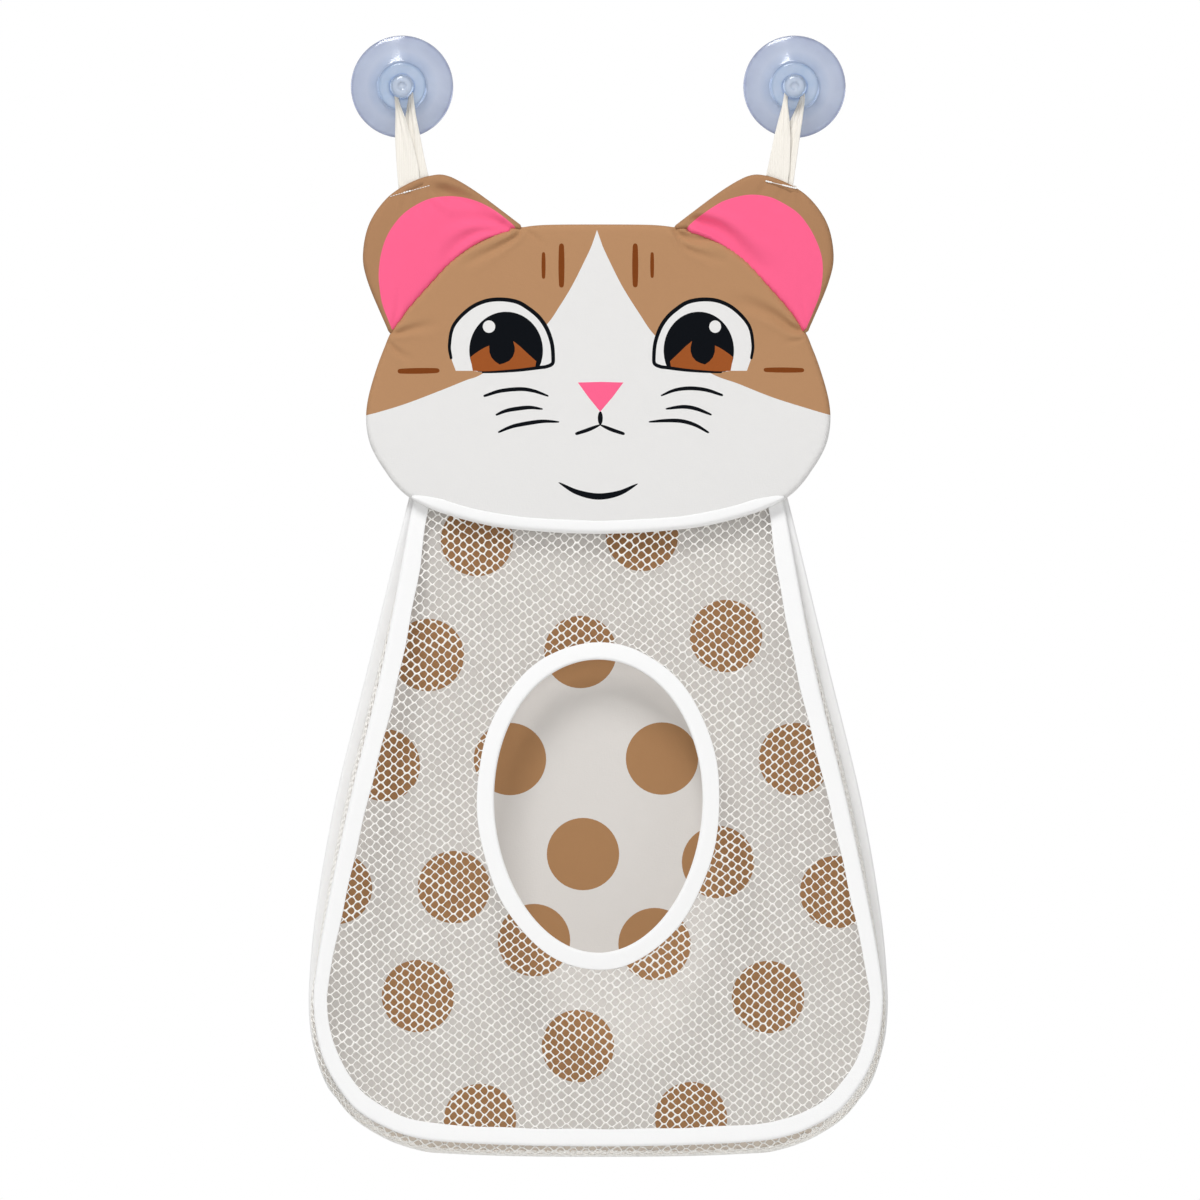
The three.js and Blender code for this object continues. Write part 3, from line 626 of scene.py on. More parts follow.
def patch(outline, step, prints=()):
    """A flat cut of cloth in triangles, and for each the number of the last print that covers it, or 0."""
    low, high = outline.min(axis=0), outline.max(axis=0)
    rows = int((high[1] - low[1]) / (step * ROW_SHARE)) + 1
    columns = int((high[0] - low[0]) / step) + 2
    lattice = np.array([(low[0] + (i + j % 2 / 2) * step, low[1] + j * step * ROW_SHARE)
                        for j in range(rows) for i in range(columns)])
    lattice = lattice[inside(lattice, outline)]
    loops = [outline, *prints]
    for loop in loops:
        lattice = lattice[edge_distance(lattice, loop) > step * EDGE_ROOM]
    corners = np.concatenate([lattice, *loops])
    edges = []
    first = len(lattice)
    for loop in loops:
        edges += [(first + i, first + (i + 1) % len(loop)) for i in range(len(loop))]
        first += len(loop)
    cut = delaunay_2d_cdt([tuple(map(float, corner)) for corner in corners], edges, [], 1, 1e-4)
    points = np.array([tuple(corner) for corner in cut[0]])
    triangles = np.array(cut[2])
    centres = points[triangles].mean(axis=1)
    kept = inside(centres, outline)
    triangles, centres = triangles[kept], centres[kept]
    tints = np.zeros(len(triangles), int)
    for number, loop in enumerate(prints, 1):
        tints[inside(centres, loop)] = number
    return points, triangles, tints


def folded(points, folds, limit):
    """How far folds press the cloth in. Each starts at a seam, runs along a line, widens and fades."""
    dent = np.zeros(len(points))
    for pixels, width, depth in folds:
        line = spline(from_photo(pixels), FOLD_STEP)
        distance = np.linalg.norm(points[:, None] - line[None], axis=2)
        share = distance.argmin(axis=1) / len(line)
        spread = width * (0.4 + 0.6 * share)
        across = distance.min(axis=1) / spread
        fade = np.minimum(1, 0.35 + share * 5) * (1 - share) ** 0.7
        dent += depth * fade * (np.exp(-across ** 2) - 0.22 * np.exp(-(across - 2.1) ** 2))
    return limit * np.tanh(dent / limit)


def turned_ply(name, outline, prints, tones, folds, nodes, rise=None, limit=FOLD_LIMIT):
    """A front ply whose rim is turned to the back. The cloth's own tone comes first, then one for each
    print. rise may move its points, and no fold is deeper than the limit."""
    points, triangles, tints = patch(outline, CLOTH_STEP, prints)
    depth = edge_distance(points, outline)
    roll = np.sqrt(1 - (1 - np.clip(depth / ROLL, 0, 1)) ** 2)
    full = 1 - np.exp(-depth / SWELL_RUN)
    wave = WAVE * np.sin(points[:, 0] / WAVE_RUNS[0] + points[:, 1] / WAVE_RUNS[1]) * full
    out = RIM_Y + roll * (HEAD_FRONT_Y - RIM_Y) - SWELL * full + wave
    out += folded(points, folds, limit) * np.clip(depth / FOLD_START, 0, 1)
    if rise:
        out = rise(points, out)
    ring = rim_of(triangles.tolist())
    rim, rim_out = points[ring], out[ring]
    inward = left_of(rim, closed=True)
    from_corner = np.linalg.norm(rim[:, None] - rim[corners_of(rim)], axis=2).min(axis=1, initial=99.0)
    room = np.clip(from_corner / CORNER_ROOM, LEAST_ROOM, 1)[:, None]
    lifted = 1 - LIFTED_SHARE * np.clip((RIM_Y - rim_out) / LIFTED_RUN, 0, 1)
    layers = [in_space(points, out)]
    faces = [tuple(t) for t in triangles]
    shades = list(tints)
    sides = {(t[k], t[(k + 1) % 3]): n for n, t in enumerate(triangles.tolist()) for k in range(3)}
    previous, first = ring, len(points)
    for inset, deep in TURNED_RIM:
        layers.append(in_space(rim + inward * inset * room, rim_out + deep * lifted))
        fresh = list(range(first, first + len(ring)))
        for i in range(len(ring)):
            k = (i + 1) % len(ring)
            faces.append((previous[k], previous[i], fresh[i], fresh[k]))
            shades.append(tints[sides[ring[i], ring[k]]])
        previous, first = fresh, first + len(ring)
    finishes = [printed[tone] for tone in tones]
    ply = piece(name, np.concatenate(layers), faces, finishes, "bag", nodes, tints=shades)
    shell = ply.modifiers.new("cloth", "SOLIDIFY")
    shell.thickness = CLOTH * MM
    shell.offset = -1
    return ply


def cotton(name, tone, slub=0.06, painted_shade_at=None):
    """Printed cotton: fine crossed threads, small uneven patches of the dye, and a matt surface. The last
    argument, if given, is the share of a darker tone painted in as shade."""
    finish, shade = new_finish(name)
    place = shade.node("ShaderNodeTexCoord", out="Object")
    warp = shade.node("ShaderNodeMapping", sockets={"Vector": place, "Scale": (2600, 2600, 500)})
    weft = shade.node("ShaderNodeMapping", sockets={"Vector": place, "Scale": (500, 2600, 2600)})
    threads = noise(warp, 1.0, 1.0) + noise(weft, 1.0, 1.0)
    lit = (threads * 0.5 - 0.5) * (slub * 4) + (noise(place, 22.0, 3.0) - 0.5) * (slub * 3) + 0.5
    base = np.array(hue(tone)[:3])
    low, high = base * (1 - slub * 2.2), np.minimum(base * (1 + slub * 2.2), 0.96)
    colour = lit.mix((*low, 1), (*high, 1))
    # Painted shade: a darker tone mixed into the colour where the share says.
    if painted_shade_at:
        colour = painted_shade_at(place).mix(colour, hue(PAINTED_SHADE_TONE))
    coat(shade, Base_Color=colour, Roughness=0.9, Specular_IOR_Level=0.1, Sheen_Weight=0.02,
         Normal=relief(threads, 0.35, 0.12))
    return finish


def stroke(centre_line, start, middle, end, step=1.0):
    """The outline of a brush stroke along a line, with its widths at the start, the middle and the end."""
    line = spline(centre_line, step)
    share = np.linspace(0, 1, len(line))
    tip = np.where(share < 0.5, start, end)
    swell = np.sin(np.pi * share) ** 0.7
    half = (tip + (middle - tip) * swell) / 2
    side = left_of(line)
    caps = []
    for at, turn in ((-1, 1), (0, -1)):
        ahead = np.array([side[at][1], -side[at][0]]) * turn
        caps.append([line[at] + half[at] * (ahead * math.cos(a) + side[at] * turn * math.sin(a))
                     for a in (math.pi / 4, 0, -math.pi / 4)])
    reach = side * half[:, None]
    return np.concatenate([line + reach, caps[0], (line - reach)[::-1], caps[1]])


def oval(centre, across, up, sides=36):
    """Points evenly round an oval."""
    turns = angles(sides)
    return np.stack([centre[0] + across * np.cos(turns), centre[1] + up * np.sin(turns)], axis=1)


def clipped(loop, limit):
    """A convex loop's points, moved in to where they lie inside another loop."""
    loop, limit = np.asarray(loop, float), np.asarray(limit, float)
    out = ~inside(loop, limit)
    centre = loop.mean(axis=0)
    for share in np.linspace(1, 0, 120):
        moved = centre + (loop - centre) * share
        done = out & inside(moved, limit)
        loop[done] = moved[done]
        out &= ~done
    return loop


printed = {tone: cotton(name, tone, slub) for name, tone, slub in (
    ("brown_print", BROWN, 0.045), ("ear_brown_print", EAR_BROWN, 0.045), ("white_print", WHITE, 0.015),
    ("stripe_print", STRIPE, 0.04), ("ink_print", INK, 0.05), ("pink_print", PINK, 0.03),
    ("iris_print", IRIS, 0.04),
)}
head_outline = smoothed(cad_outline("head_back_panel"), OUTLINE_STEP)
brow = head_outline[:, 1] > BROW_Z
head_outline[brow, 1] += BROW_RISE * (1 - np.clip(head_outline[brow, 0] / BROW_HALF, -1, 1) ** 6)
mask = np.concatenate([spline(MASK, MASK_STEP), MASK_FOOT, spline(MASK_RIGHT, MASK_STEP)])
prints = [(mask, WHITE)]
prints += [(stroke(line, width * 0.8, width, width * 0.8), STRIPE) for line, width in STRIPES]
white_of_eye = np.concatenate([spline(EYE, EYE_STEP), EYE_CORNER])
pupil = clipped(oval(*PUPIL, sides=60), white_of_eye)
lid = stroke(EYE, *LID, step=EYE_STEP)
eye = ((white_of_eye, WHITE), (pupil, INK), (IRIS_EDGE, IRIS), (oval(*GLINT), WHITE), (lid, INK))
for mirrored in (False, True):
    for loop, tone in eye:
        loop = np.array(loop, float)
        if mirrored:
            loop[:, 0] = EYE_CENTRES[1] - (loop[:, 0] - EYE_CENTRES[0]) * RIGHT_EYE_SIZE
        prints.append((loop, tone))
prints += [(NOSE, PINK), (oval(*MOUTH, sides=20), INK)]
prints += [(stroke(*line), INK) for line in STROKES]
head = turned_ply("head_front", head_outline, [from_photo(loop) for loop, _ in prints],
                  [BROWN] + [tone for _, tone in prints], HEAD_FOLDS, ["head_front_panel"])


def thick(rear, triangles, thickness):
    """Points and faces of a cut of cloth with its thickness: rear, front and rim."""
    ring = rim_of(triangles.tolist())
    count = len(rear)
    faces = [tuple(t) for t in triangles] + [tuple(t[::-1] + count) for t in triangles]
    faces += [(b, a, a + count, b + count) for a, b in zip(ring, ring[1:] + ring[:1])]
    return np.concatenate([rear, rear - (0, thickness, 0)]), faces


def flat_ply(name, outline, place_y, thickness, finish, node, step=4.0, inset=0.6):
    """A flat lining or a sheet of wadding, a little smaller than its outline."""
    centre = outline.mean(axis=0)
    small = centre + (outline - centre) * (1 - inset / np.hypot(*(outline - centre).T).mean())
    points, triangles, _ = patch(small, step)
    points, faces = thick(in_space(points, place_y), triangles, thickness)
    return piece(name, points, faces, [finish], "bag", [node], smooth=False)


lining = cotton("lining_cloth", "#ebe7e0", 0.02)
wadding = cotton("wadding", "#f6f5f2", 0.03)
flat_ply("head_lining", head_outline, HEAD_BACK_Y, LINING, lining, "head_back_panel",
         inset=0.2)
fill = flat_ply("head_fill", head_outline, FILL_Y, WADDING, wadding, "head_wadding",
                step=6.0, inset=7.0)

# Ears: sewn and turned like the head, with a pink printed middle. Each is caught under the head's edge, and
# the loop's ends go in through a gap in its rim, where a bar tack of white thread pulls the cloth in.
SEAM_GAP = 1.0
TUCK_UNDER = 0.9
EAR_LINING = 0.55
EAR_LINING_Y = HEAD_BACK_Y - 0.08
EAR_PINK = {
    "left": [
        (515.8, 229), (512.4, 224.4), (495.9, 211.4), (479.3, 202.4), (462.7, 197.6), (446.3, 196.6),
        (429.5, 199.2), (413, 207.2), (399.7, 218), (388, 234.6), (381.5, 253), (378.9, 272.8),
        (379.9, 289.4), (383, 306), (391.9, 329.2), (402.3, 334.8), (438.3, 330.8), (514.3, 238.8),
    ],
    "right": [
        (686.5, 229), (690, 224.6), (699.5, 216.6), (716, 205.4), (726, 200.4), (740, 196.4), (752, 195),
        (765, 196.3), (776.4, 200), (795.7, 211.6), (807.3, 224.9), (815.6, 239.8), (821.4, 256.4),
        (822.6, 273), (820, 292.9), (814.8, 307.8), (806.5, 328), (798, 336), (766, 330.8), (688, 238.8),
    ],
}
TACK_ENDS = {"left": ((390.6, 196.8), (429.3, 186)), "right": ((796, 188.7), (766, 181.5))}
TACK_DASHES = {"left": ((0.31, 0.55),), "right": ((0.0, 0.45), (0.8, 1.0))}
TACK_HOLD = 3.2
TACK_RISE = 0.2
TACK_PRESS = 0.8
TACK_REACH = 1.6
VALLEY = 9
VALLEY_DEPTH = 0.3
DASH_RADIUS = 0.42
DASH_BOW = 0.25
THREAD_RADIUS = 0.16
STITCHES = 15
STITCH_REACHES = np.linspace(-1.15, 1.15, 6)
STITCH_HALF = 0.5
ENTRY_HALF = 11.5
ENTRY_Y = -13.35
TAIL_HALF = 7.4
TAIL_PLIES = ((-0.7, -0.2), (0.2, 0.7))
TAIL_RUN = (1.5, 12.5)
EAR_FOLD_LIMIT = 2.8
EAR_FOLDS = {
    "left": [
        ([(509, 228), (494, 222.5), (477, 219), (450, 217)], 4.2, 3.4),
        ([(506, 232), (483, 231.5), (466, 238), (452.8, 249.8), (444, 266)], 3.6, 2.4),
        ([(434, 188), (452, 195.5), (474, 205), (500, 221)], 5.6, 4.2),
        ([(403, 197), (404, 216)], 1.8, 0.8), ([(416, 194), (418, 214)], 1.8, 0.8),
        ([(428, 190), (431, 208)], 1.6, 0.8), ([(391, 331), (397, 312), (399, 290)], 1.8, 0.9),
    ],
    "right": [
        ([(690, 219), (712.8, 227), (726, 236), (736, 246), (749, 259.4), (768, 276)], 5.2, 6.5),
        ([(797, 190), (803, 208)], 2.2, 1.0), ([(766, 182), (759, 196)], 2.2, 0.9),
        ([(780, 188), (779, 204)], 2.0, 0.7), ([(809, 331), (804, 312), (800, 290)], 1.8, 0.9),
        ([(690, 214), (706, 205), (722, 196)], 2.0, 1.2),
    ],
}


def thread(line, radius):
    """Points and faces of a length of sewing thread along a line."""
    run = np.gradient(line, axis=0)
    run /= np.linalg.norm(run, axis=1)[:, None]
    side = np.cross(run, (0, 1, 0))
    side /= np.linalg.norm(side, axis=1)[:, None]
    rise = np.cross(side, run)
    share = np.linspace(0, 1, len(line))
    radii = radius * np.sqrt(np.clip(np.minimum(share, 1 - share) * len(line), 0.15, 1))
    turns = angles(8)
    return loft([centre + r * (np.outer(np.cos(turns), a) + np.outer(np.sin(turns), b))
                 for centre, r, a, b in zip(line, radii, side, rise)])


def joined(parts):
    """Several sets of points and faces as one."""
    points, faces, first = [], [], 0
    for some_points, some_faces in parts:
        points.append(np.asarray(some_points, float))
        faces += [tuple(int(i) + first for i in face) for face in some_faces]
        first += len(some_points)
    return np.concatenate(points), faces


def tucked(outline):
    """An ear's outline with the side that is sewn into the head moved in under the head's edge."""
    near = edge_distance(outline, head_outline) < SEAM_GAP
    inward = left_of(head_outline, closed=True)
    inward *= 1 if inside(head_outline[:1] + inward[:1] * 0.5, head_outline)[0] else -1
    nearest = np.argmin(np.linalg.norm(outline[:, None] - head_outline[None], axis=2), axis=1)
    return np.where(near[:, None], (head_outline + TUCK_UNDER * inward)[nearest], outline)


white_thread = cotton("white_thread", "#fbfbfa", 0.02)
for side, sign in SIDES:
    ear_cut = tucked(smoothed(cad_outline(f"{side}_ear_back"), OUTLINE_STEP))
    pink = from_photo(EAR_PINK[side])
    pink_loop = np.concatenate([spline(pink[:-3], EYE_STEP), pink[-3:]])
    ends = from_photo(TACK_ENDS[side])
    middle, reach = (ends[0] + ends[1]) / 2, np.linalg.norm(ends[1] - ends[0]) / 2
    entry = np.array([sign * ENTRY[0], ENTRY[2]]) / MM
    along = (ends[1] - ends[0]) / (2 * reach)

    def tacked(points, out):
        """The tack presses the ear flat on the tape, and a shallow valley runs under its stitches."""
        line = edge_distance(points, ends, closed=False)
        held = np.exp(-(line / TACK_HOLD) ** 2)
        near = np.clip(TACK_REACH - np.abs((points - middle) @ along) / reach, 0, 1)
        near *= np.exp(-(line / VALLEY) ** 2)
        out = out + (HEAD_FRONT_Y + TACK_RISE - out) * held * TACK_PRESS + VALLEY_DEPTH * near * (1 - held)
        lip = np.exp(-(np.abs(points - entry) @ (1, 0.6) / ENTRY_HALF) ** 4)
        return out + (ENTRY_Y - out) * lip * (out > ENTRY_Y)

    ear = turned_ply(f"{side}_ear_ply", ear_cut, [pink_loop], [EAR_BROWN, PINK], EAR_FOLDS[side],
                     [f"{side}_ear_front"], rise=tacked, limit=EAR_FOLD_LIMIT)
    flat_ply(f"{side}_ear_lining", ear_cut, EAR_LINING_Y, EAR_LINING, lining,
             f"{side}_ear_back", inset=0)
    stitches = []
    for share in np.linspace(0.02, 0.98, STITCHES):
        dash = any(first < share < last for first, last in TACK_DASHES[side])
        radius, bow = (DASH_RADIUS, DASH_BOW) if dash else (THREAD_RADIUS, 0)
        line = ends[0] + (ends[1] - ends[0]) * share + np.outer(STITCH_REACHES, along * STITCH_HALF)
        stitches.append(thread(in_space(line, HEAD_FRONT_Y - bow * (1 - STITCH_REACHES ** 2)), radius))
    points, faces = joined(stitches)
    piece(f"{side}_bar_tack", points, faces, [white_thread], "bag", [f"{side}_ear_tack"])
    plies = []
    for front, rear in TAIL_PLIES:
        section = np.array([(-TAIL_HALF, front), (TAIL_HALF, front), (TAIL_HALF, rear), (-TAIL_HALF, rear)])
        rings = [np.insert(section, 2, -drop, axis=1) - (0, HANG_DEPTH, LOOP_LENGTH) for drop in TAIL_RUN]
        plies.append(loft([on_loop(ring, sign) for ring in rings]))
    points, faces = joined(plies)
    piece(f"{side}_tape_ends", points, faces, [cream_tape], "bag", [f"{side}_loop_tail"],
          smooth=False)

# White tapes: soft cotton tape folded in half over each raw edge and sewn through. One runs round the
# front, one round the back, one round the opening, and one over the lower edge of the head.
TAPE_STEP = 3.0
TAPE_FOLD = 0.35
KNEE_Z = -209.0
BEND_Z = -212.0
BINDING = 7.8
BACK_TAPE = 5.9
# Painted shade: the rear tape's inner face low in the bag is painted this darker tone, as shade behind the
# net.
PAINTED_SHADE_TONE = "#c9bfb4"
PAINTED_SHADE_Y = -1.35
PAINTED_SHADE_Z = -512.0
PAINTED_SHADE_FADES = (1.2, 0.1)
BINDING_DEPTH = 2.7
FRONT_SHARES = [
    (0.653, 0), (0.757, 0.249), (0.87, 0.459), (0.953, 0.635), (0.993, 0.741), (0.997, 0.785),
    (0.985, 0.83), (0.96, 0.868), (0.923, 0.9), (0.869, 0.933), (0.826, 0.95), (0.765, 0.966),
    (0.679, 0.982), (0.556, 0.992), (0.3, 0.998), (0, 1),
]
BACK_SHARES = [
    (0.655, 0), (0.788, 0.245), (0.901, 0.452), (0.968, 0.624), (0.992, 0.741), (0.988, 0.805),
    (0.968, 0.848), (0.941, 0.883), (0.908, 0.907), (0.827, 0.943), (0.778, 0.959), (0.726, 0.973),
    (0.673, 0.983), (0.621, 0.991), (0.543, 0.996), (0.3, 1), (0, 1),
]
OPENING_CENTRE = -359.4
OPENING_HALF = (51.9, 73.0)
OPENING_EGG = 0.05
OPENING_POINTS = 132
OPENING_TAPE = 8.6
HEM_REACH = 94.0
HEM_RISE = 15
HEM_OFFSET = 0.9
HEM_END_OFFSET = 0.4
HEM_TAPE = 6.6
HEM_ENDS = (5, 0.2, 0.84)
HEM_DEPTH = 6.5
HEM_PINCH = 0.82
HEM_ROLL = 2.6
FRONT_WIDE = ((-512, -456, -406, -346, -237, -215), (1.1, 0.86, 1.05, 1.15, 1.22, 1.05))
FRONT_TAIL = 10.0
BACK_TAIL = 9.0
TAIL_SLOPE = 0.36
SECTION_SHARES = np.array([1, 0.97, 0.86, 0.7, 0.52, 0.36, 0.24, 0.15, 0.08, 0.03, 0.006, 0])


def bag_edge(node, shares, tail):
    """An edge of the bag from the upper left round the bottom to the upper right, with a tail at each
    end."""
    low, high = (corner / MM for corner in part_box(node))
    half = [(high.x * across, KNEE_Z + (low.z - KNEE_Z) * down) for across, down in shares]
    half = [(half[0][0] - tail * TAIL_SLOPE, half[0][1] + tail)] + half
    return spline([(-x, z) for x, z in half] + half[-2::-1], TAPE_STEP)


def wall_y(node):
    """Where the front or the back lies at a height: flat, and slanting below the head."""
    low, high = (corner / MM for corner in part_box(node))
    ends = (high.y - BINDING_DEPTH / 2, low.y + BINDING_DEPTH / 2)
    if node == "back_binding":
        ends = ends[::-1]
    drop = BEND_Z - low.z
    return lambda z: ends[0] + (ends[1] - ends[0]) * np.maximum(0, (BEND_Z - z) / drop)


def folded_tape(name, line, base, width, depth, node, closed=False, pinch=0.5, roll=1.5, wide=None,
                ends=None, finish=None):
    """Tape folded over an edge, which is on its right hand. base gives the depth of its middle, wide its
    width at a height as a share, and ends how long and how narrow its ends taper."""
    u = width * SECTION_SHARES
    v = depth / 2 * (1 - (1 - pinch) * (u / width) ** 1.6) * np.sqrt(1 - (1 - np.clip(u / roll, 0, 1)) ** 2)
    v[0] *= 0.9
    shrink = 1 - 2 * TAPE_FOLD / depth
    inner_u = TAPE_FOLD + u * (width - TAPE_FOLD) / width
    outer = list(zip(u, v)) + list(zip(u[-2::-1], -v[-2::-1]))
    inner = list(zip(inner_u, v * shrink)) + list(zip(inner_u[-2::-1], -v[-2::-1] * shrink))
    section = np.array(outer + inner[::-1])
    rings = []
    for number, (place, side) in enumerate(zip(line, left_of(line, closed))):
        ripple = 1 + 0.035 * math.sin(number * 0.9) * math.sin(number * 0.37 + 1)
        spread = 1 + 0.02 * math.sin(number * 0.53)
        if wide:
            spread *= np.interp(place[1], *wide)
        if ends:
            taper = min(1.0, number / ends[0], (len(line) - 1 - number) / ends[0]) ** 0.6
            spread *= ends[1] + (1 - ends[1]) * taper
            ripple *= ends[2] + (1 - ends[2]) * taper
        across = place + side * section[:, :1] * spread
        rings.append(in_space(across, base(across[:, 1]) - section[:, 1] * ripple))
    points, faces = loft(rings, closed)
    return piece(name, points, faces, [finish or white_tape], "bag", [node])


def within(share):
    """A shade held between 0 and 1."""
    return share.sum("MINIMUM", share.sum("MAXIMUM", share, 0.0), 1.0)


def painted_shade_share(place):
    """The share of painted shade: the rear tape's inner face low in the bag, behind the net, is painted
    darker as shade.
    """
    inner, low = PAINTED_SHADE_Y - on_axis(place, "Y"), PAINTED_SHADE_Z - on_axis(place, "Z")
    return within(inner * PAINTED_SHADE_FADES[0]) * within(low * PAINTED_SHADE_FADES[1])


white_tape = cotton("white_tape", "#f2f2f2", 0.008)
# The rear tape has painted shade on its inner face low in the bag.
rear_tape_painted_shade = cotton("rear_tape_painted_shade", "#f2f2f2", 0.008, painted_shade_share)
front_edge = bag_edge("front_binding", FRONT_SHARES, FRONT_TAIL)
back_edge = bag_edge("back_binding", BACK_SHARES, BACK_TAIL)
front_y, back_y = wall_y("front_binding"), wall_y("back_binding")
turns = angles(OPENING_POINTS)
opening_edge = np.stack([
    OPENING_HALF[0] * np.sin(turns) * (1 + OPENING_EGG * np.cos(turns)),
    OPENING_CENTRE + OPENING_HALF[1] * np.cos(turns),
], axis=1)
chin = head_outline[(np.abs(head_outline[:, 0]) < HEM_REACH) & (head_outline[:, 1] < KNEE_Z + HEM_RISE)]
chin = spline(chin[np.argsort(chin[:, 0])][::2], TAPE_STEP)
from_end = np.minimum(np.arange(len(chin)), np.arange(len(chin))[::-1])
chin_taper = np.clip(from_end / HEM_ENDS[0], 0, 1)
chin_out = HEM_OFFSET * chin_taper - HEM_END_OFFSET * (1 - chin_taper)
chin_edge = chin - left_of(chin) * chin_out[:, None]

folded_tape("front_tape", front_edge, front_y, BINDING, BINDING_DEPTH, "front_binding", wide=FRONT_WIDE)
folded_tape("back_tape", back_edge, back_y, BACK_TAPE, BINDING_DEPTH, "back_binding", finish=rear_tape_painted_shade)
folded_tape("opening_tape", opening_edge, front_y, OPENING_TAPE, BINDING_DEPTH, "opening_binding",
            closed=True)
folded_tape("hem_tape", chin_edge, lambda z: np.full_like(z, RIM_Y), HEM_TAPE, HEM_DEPTH,
            "head_hem_binding", pinch=HEM_PINCH, roll=HEM_ROLL, ends=HEM_ENDS)

# Net: knitted white polyester with small round-cornered hexagons, 3.2 by 4.7 mm. One piece covers the
# front, with the oval hole, and one strip joins it to the back down one side, along the bottom and up the
# other.
CELL = (3.17, 4.65)
NET_DEPTH = 0.8
SIDE_CUT = 0.42
HOLE_CORNER = 0.775
HOLE_SIDE = 0.868
NET_UNDER_TAPE = 3.0
NET_UNDER_OPENING = 4.2
NET_RISE = 6
FRONT_CELLS = ((-46, 47), (-115, -40))
UNEVEN = 0.19
LOOSE = 0.045
HEM_PULL_Y = -11.2
HEM_PULL_RUN = 16.0
PULL_START = 10
FREE_RUN = 25
SAG = 0.7
GUSSET_INSETS = (0.9, 5.8, 2.6)
INSET_RUN = (-515.0, -470.0)
GUSSET_SHARE = 0.035
GUSSET_ROWS = (-7, 8)
STATIONS = 260
BULGE_RUN = (470, 520)
GUSSET_BULGE = (2.9, 4.8)
BULGE_RISE = 9.0
BULGE_TOP = (-432.0, 38.0)
GUSSET_ROOM = 0.3
GUSSET_SLACK = 1.6
SLACK_WIDTH = 40
LEAST_WIDTH = 0.5
AHEAD = 3
RIM_LIFT = 0.5
chance = np.random.default_rng(7)


def hexagons(columns, rows):
    """Column and height numbers of the cells, two height steps to a cell, and their middles."""
    cells = np.array([(c, 2 * r + c % 2) for c in range(*columns) for r in range(*rows)])
    return cells, cells * (CELL[0], CELL[1] / 2)


def area_of(triangles):
    """The area of triangles, in square millimetres."""
    across, up = triangles[:, 1] - triangles[:, 0], triangles[:, 2] - triangles[:, 0]
    return np.linalg.norm(np.cross(across, up), axis=1).sum() / 2


def knit(cells, lay):
    """A net of hexagonal cells, each thread four-sided, and the area of one side of its threads. lay puts
    flat points, and how far through, in space."""
    corners = np.array([(2, 0), (1, 1), (-1, 1), (-2, 0), (-1, -1), (1, -1)])
    keys = cells[:, None, :] * (3, 1) + corners
    shared, numbers = np.unique(keys.reshape(-1, 2), axis=0, return_inverse=True)
    numbers = numbers.reshape(-1, 6)
    flat = shared * (CELL[0] / 3, CELL[1] / 2)
    flat[:, 0] += np.where(shared[:, 0] % 3 == 2, SIDE_CUT, -SIDE_CUT)
    flat += chance.normal(0, UNEVEN, shared.shape)
    ring = flat[numbers]
    middle = ring.mean(axis=1, keepdims=True)
    sides = (ring + np.roll(ring, -1, axis=1)) / 2
    loose = 1 + chance.normal(0, LOOSE, (len(cells), 1, 1))
    holes = np.stack([middle + (ring - middle) * HOLE_CORNER * loose,
                      middle + (sides - middle) * HOLE_SIDE * loose], axis=2).reshape(-1, 2)
    half = np.full(len(flat), NET_DEPTH / 2)
    points = np.concatenate([lay(flat, half), lay(flat, -half), lay(holes, np.zeros(len(holes)))])
    first = 2 * len(flat) + 12 * np.arange(len(cells))[:, None]
    step = np.arange(6)[None, :]
    c0, c1 = numbers, np.roll(numbers, -1, axis=1)
    h0, h1, h2 = first + 2 * step, first + 2 * step + 1, first + (2 * step + 2) % 12
    kinds = ((c0, h1, h0), (c0, c1, h1), (c1, h2, h1))
    front = np.concatenate([np.stack(kind, axis=-1).reshape(-1, 3) for kind in kinds])
    rear = front[:, ::-1].copy()
    rear[rear < len(flat)] += len(flat)
    faces = [tuple(face) for face in np.concatenate([front, rear]).tolist()]
    pairs = set(zip(c0.ravel().tolist(), c1.ravel().tolist()))
    faces += [(b, a, a + len(flat), b + len(flat)) for a, b in pairs if (b, a) not in pairs]
    return points, faces, area_of(points[front])


def knitted(name):
    """White polyester yarn, a little fuzzy."""
    finish, shade = new_finish(name)
    fuzz = noise(shade.node("ShaderNodeTexCoord", out="Object"), 900.0)
    coat(shade, Base_Color=fuzz.mix(hue("#f6f3ed"), hue("#fffefb")), Roughness=0.75, Sheen_Weight=0.2,
         Normal=relief(fuzz, 0.3, 0.15))
    return finish


def warped(flat):
    """The net's rows as they really run: a little uneven."""
    x, z = flat.T
    return flat + np.stack([
        0.9 * np.sin(z / 17 + 0.6 * np.sin(x / 41)) + 0.5 * np.sin(x / 23 + z / 9),
        0.8 * np.sin(x / 13 + 0.8 * np.sin(z / 37)) + 0.5 * np.sin(z / 19 - x / 29),
    ], axis=1)


def lay_front(flat, through):
    """Puts the front net in its plane. It sags a little, and is pulled up to the hem of the head."""
    flat = warped(flat)
    below = np.where(inside(flat, head_outline), 0, edge_distance(flat, head_outline))
    from_tape = edge_distance(flat, front_edge, closed=False) - BINDING
    pull = eased(np.clip(1 - below / HEM_PULL_RUN, 0, 1)) * np.clip(from_tape / PULL_START, 0, 1)
    sag = SAG * np.sin(flat[:, 0] / 19 + 1) * np.sin(flat[:, 1] / 27)
    free = np.clip(from_tape / FREE_RUN, 0, 1)
    free *= np.clip((edge_distance(flat, opening_edge) - OPENING_TAPE) / FREE_RUN, 0, 1)
    level = front_y(flat[:, 1])
    return in_space(flat, level + (HEM_PULL_Y - level) * pull + sag * free - through)


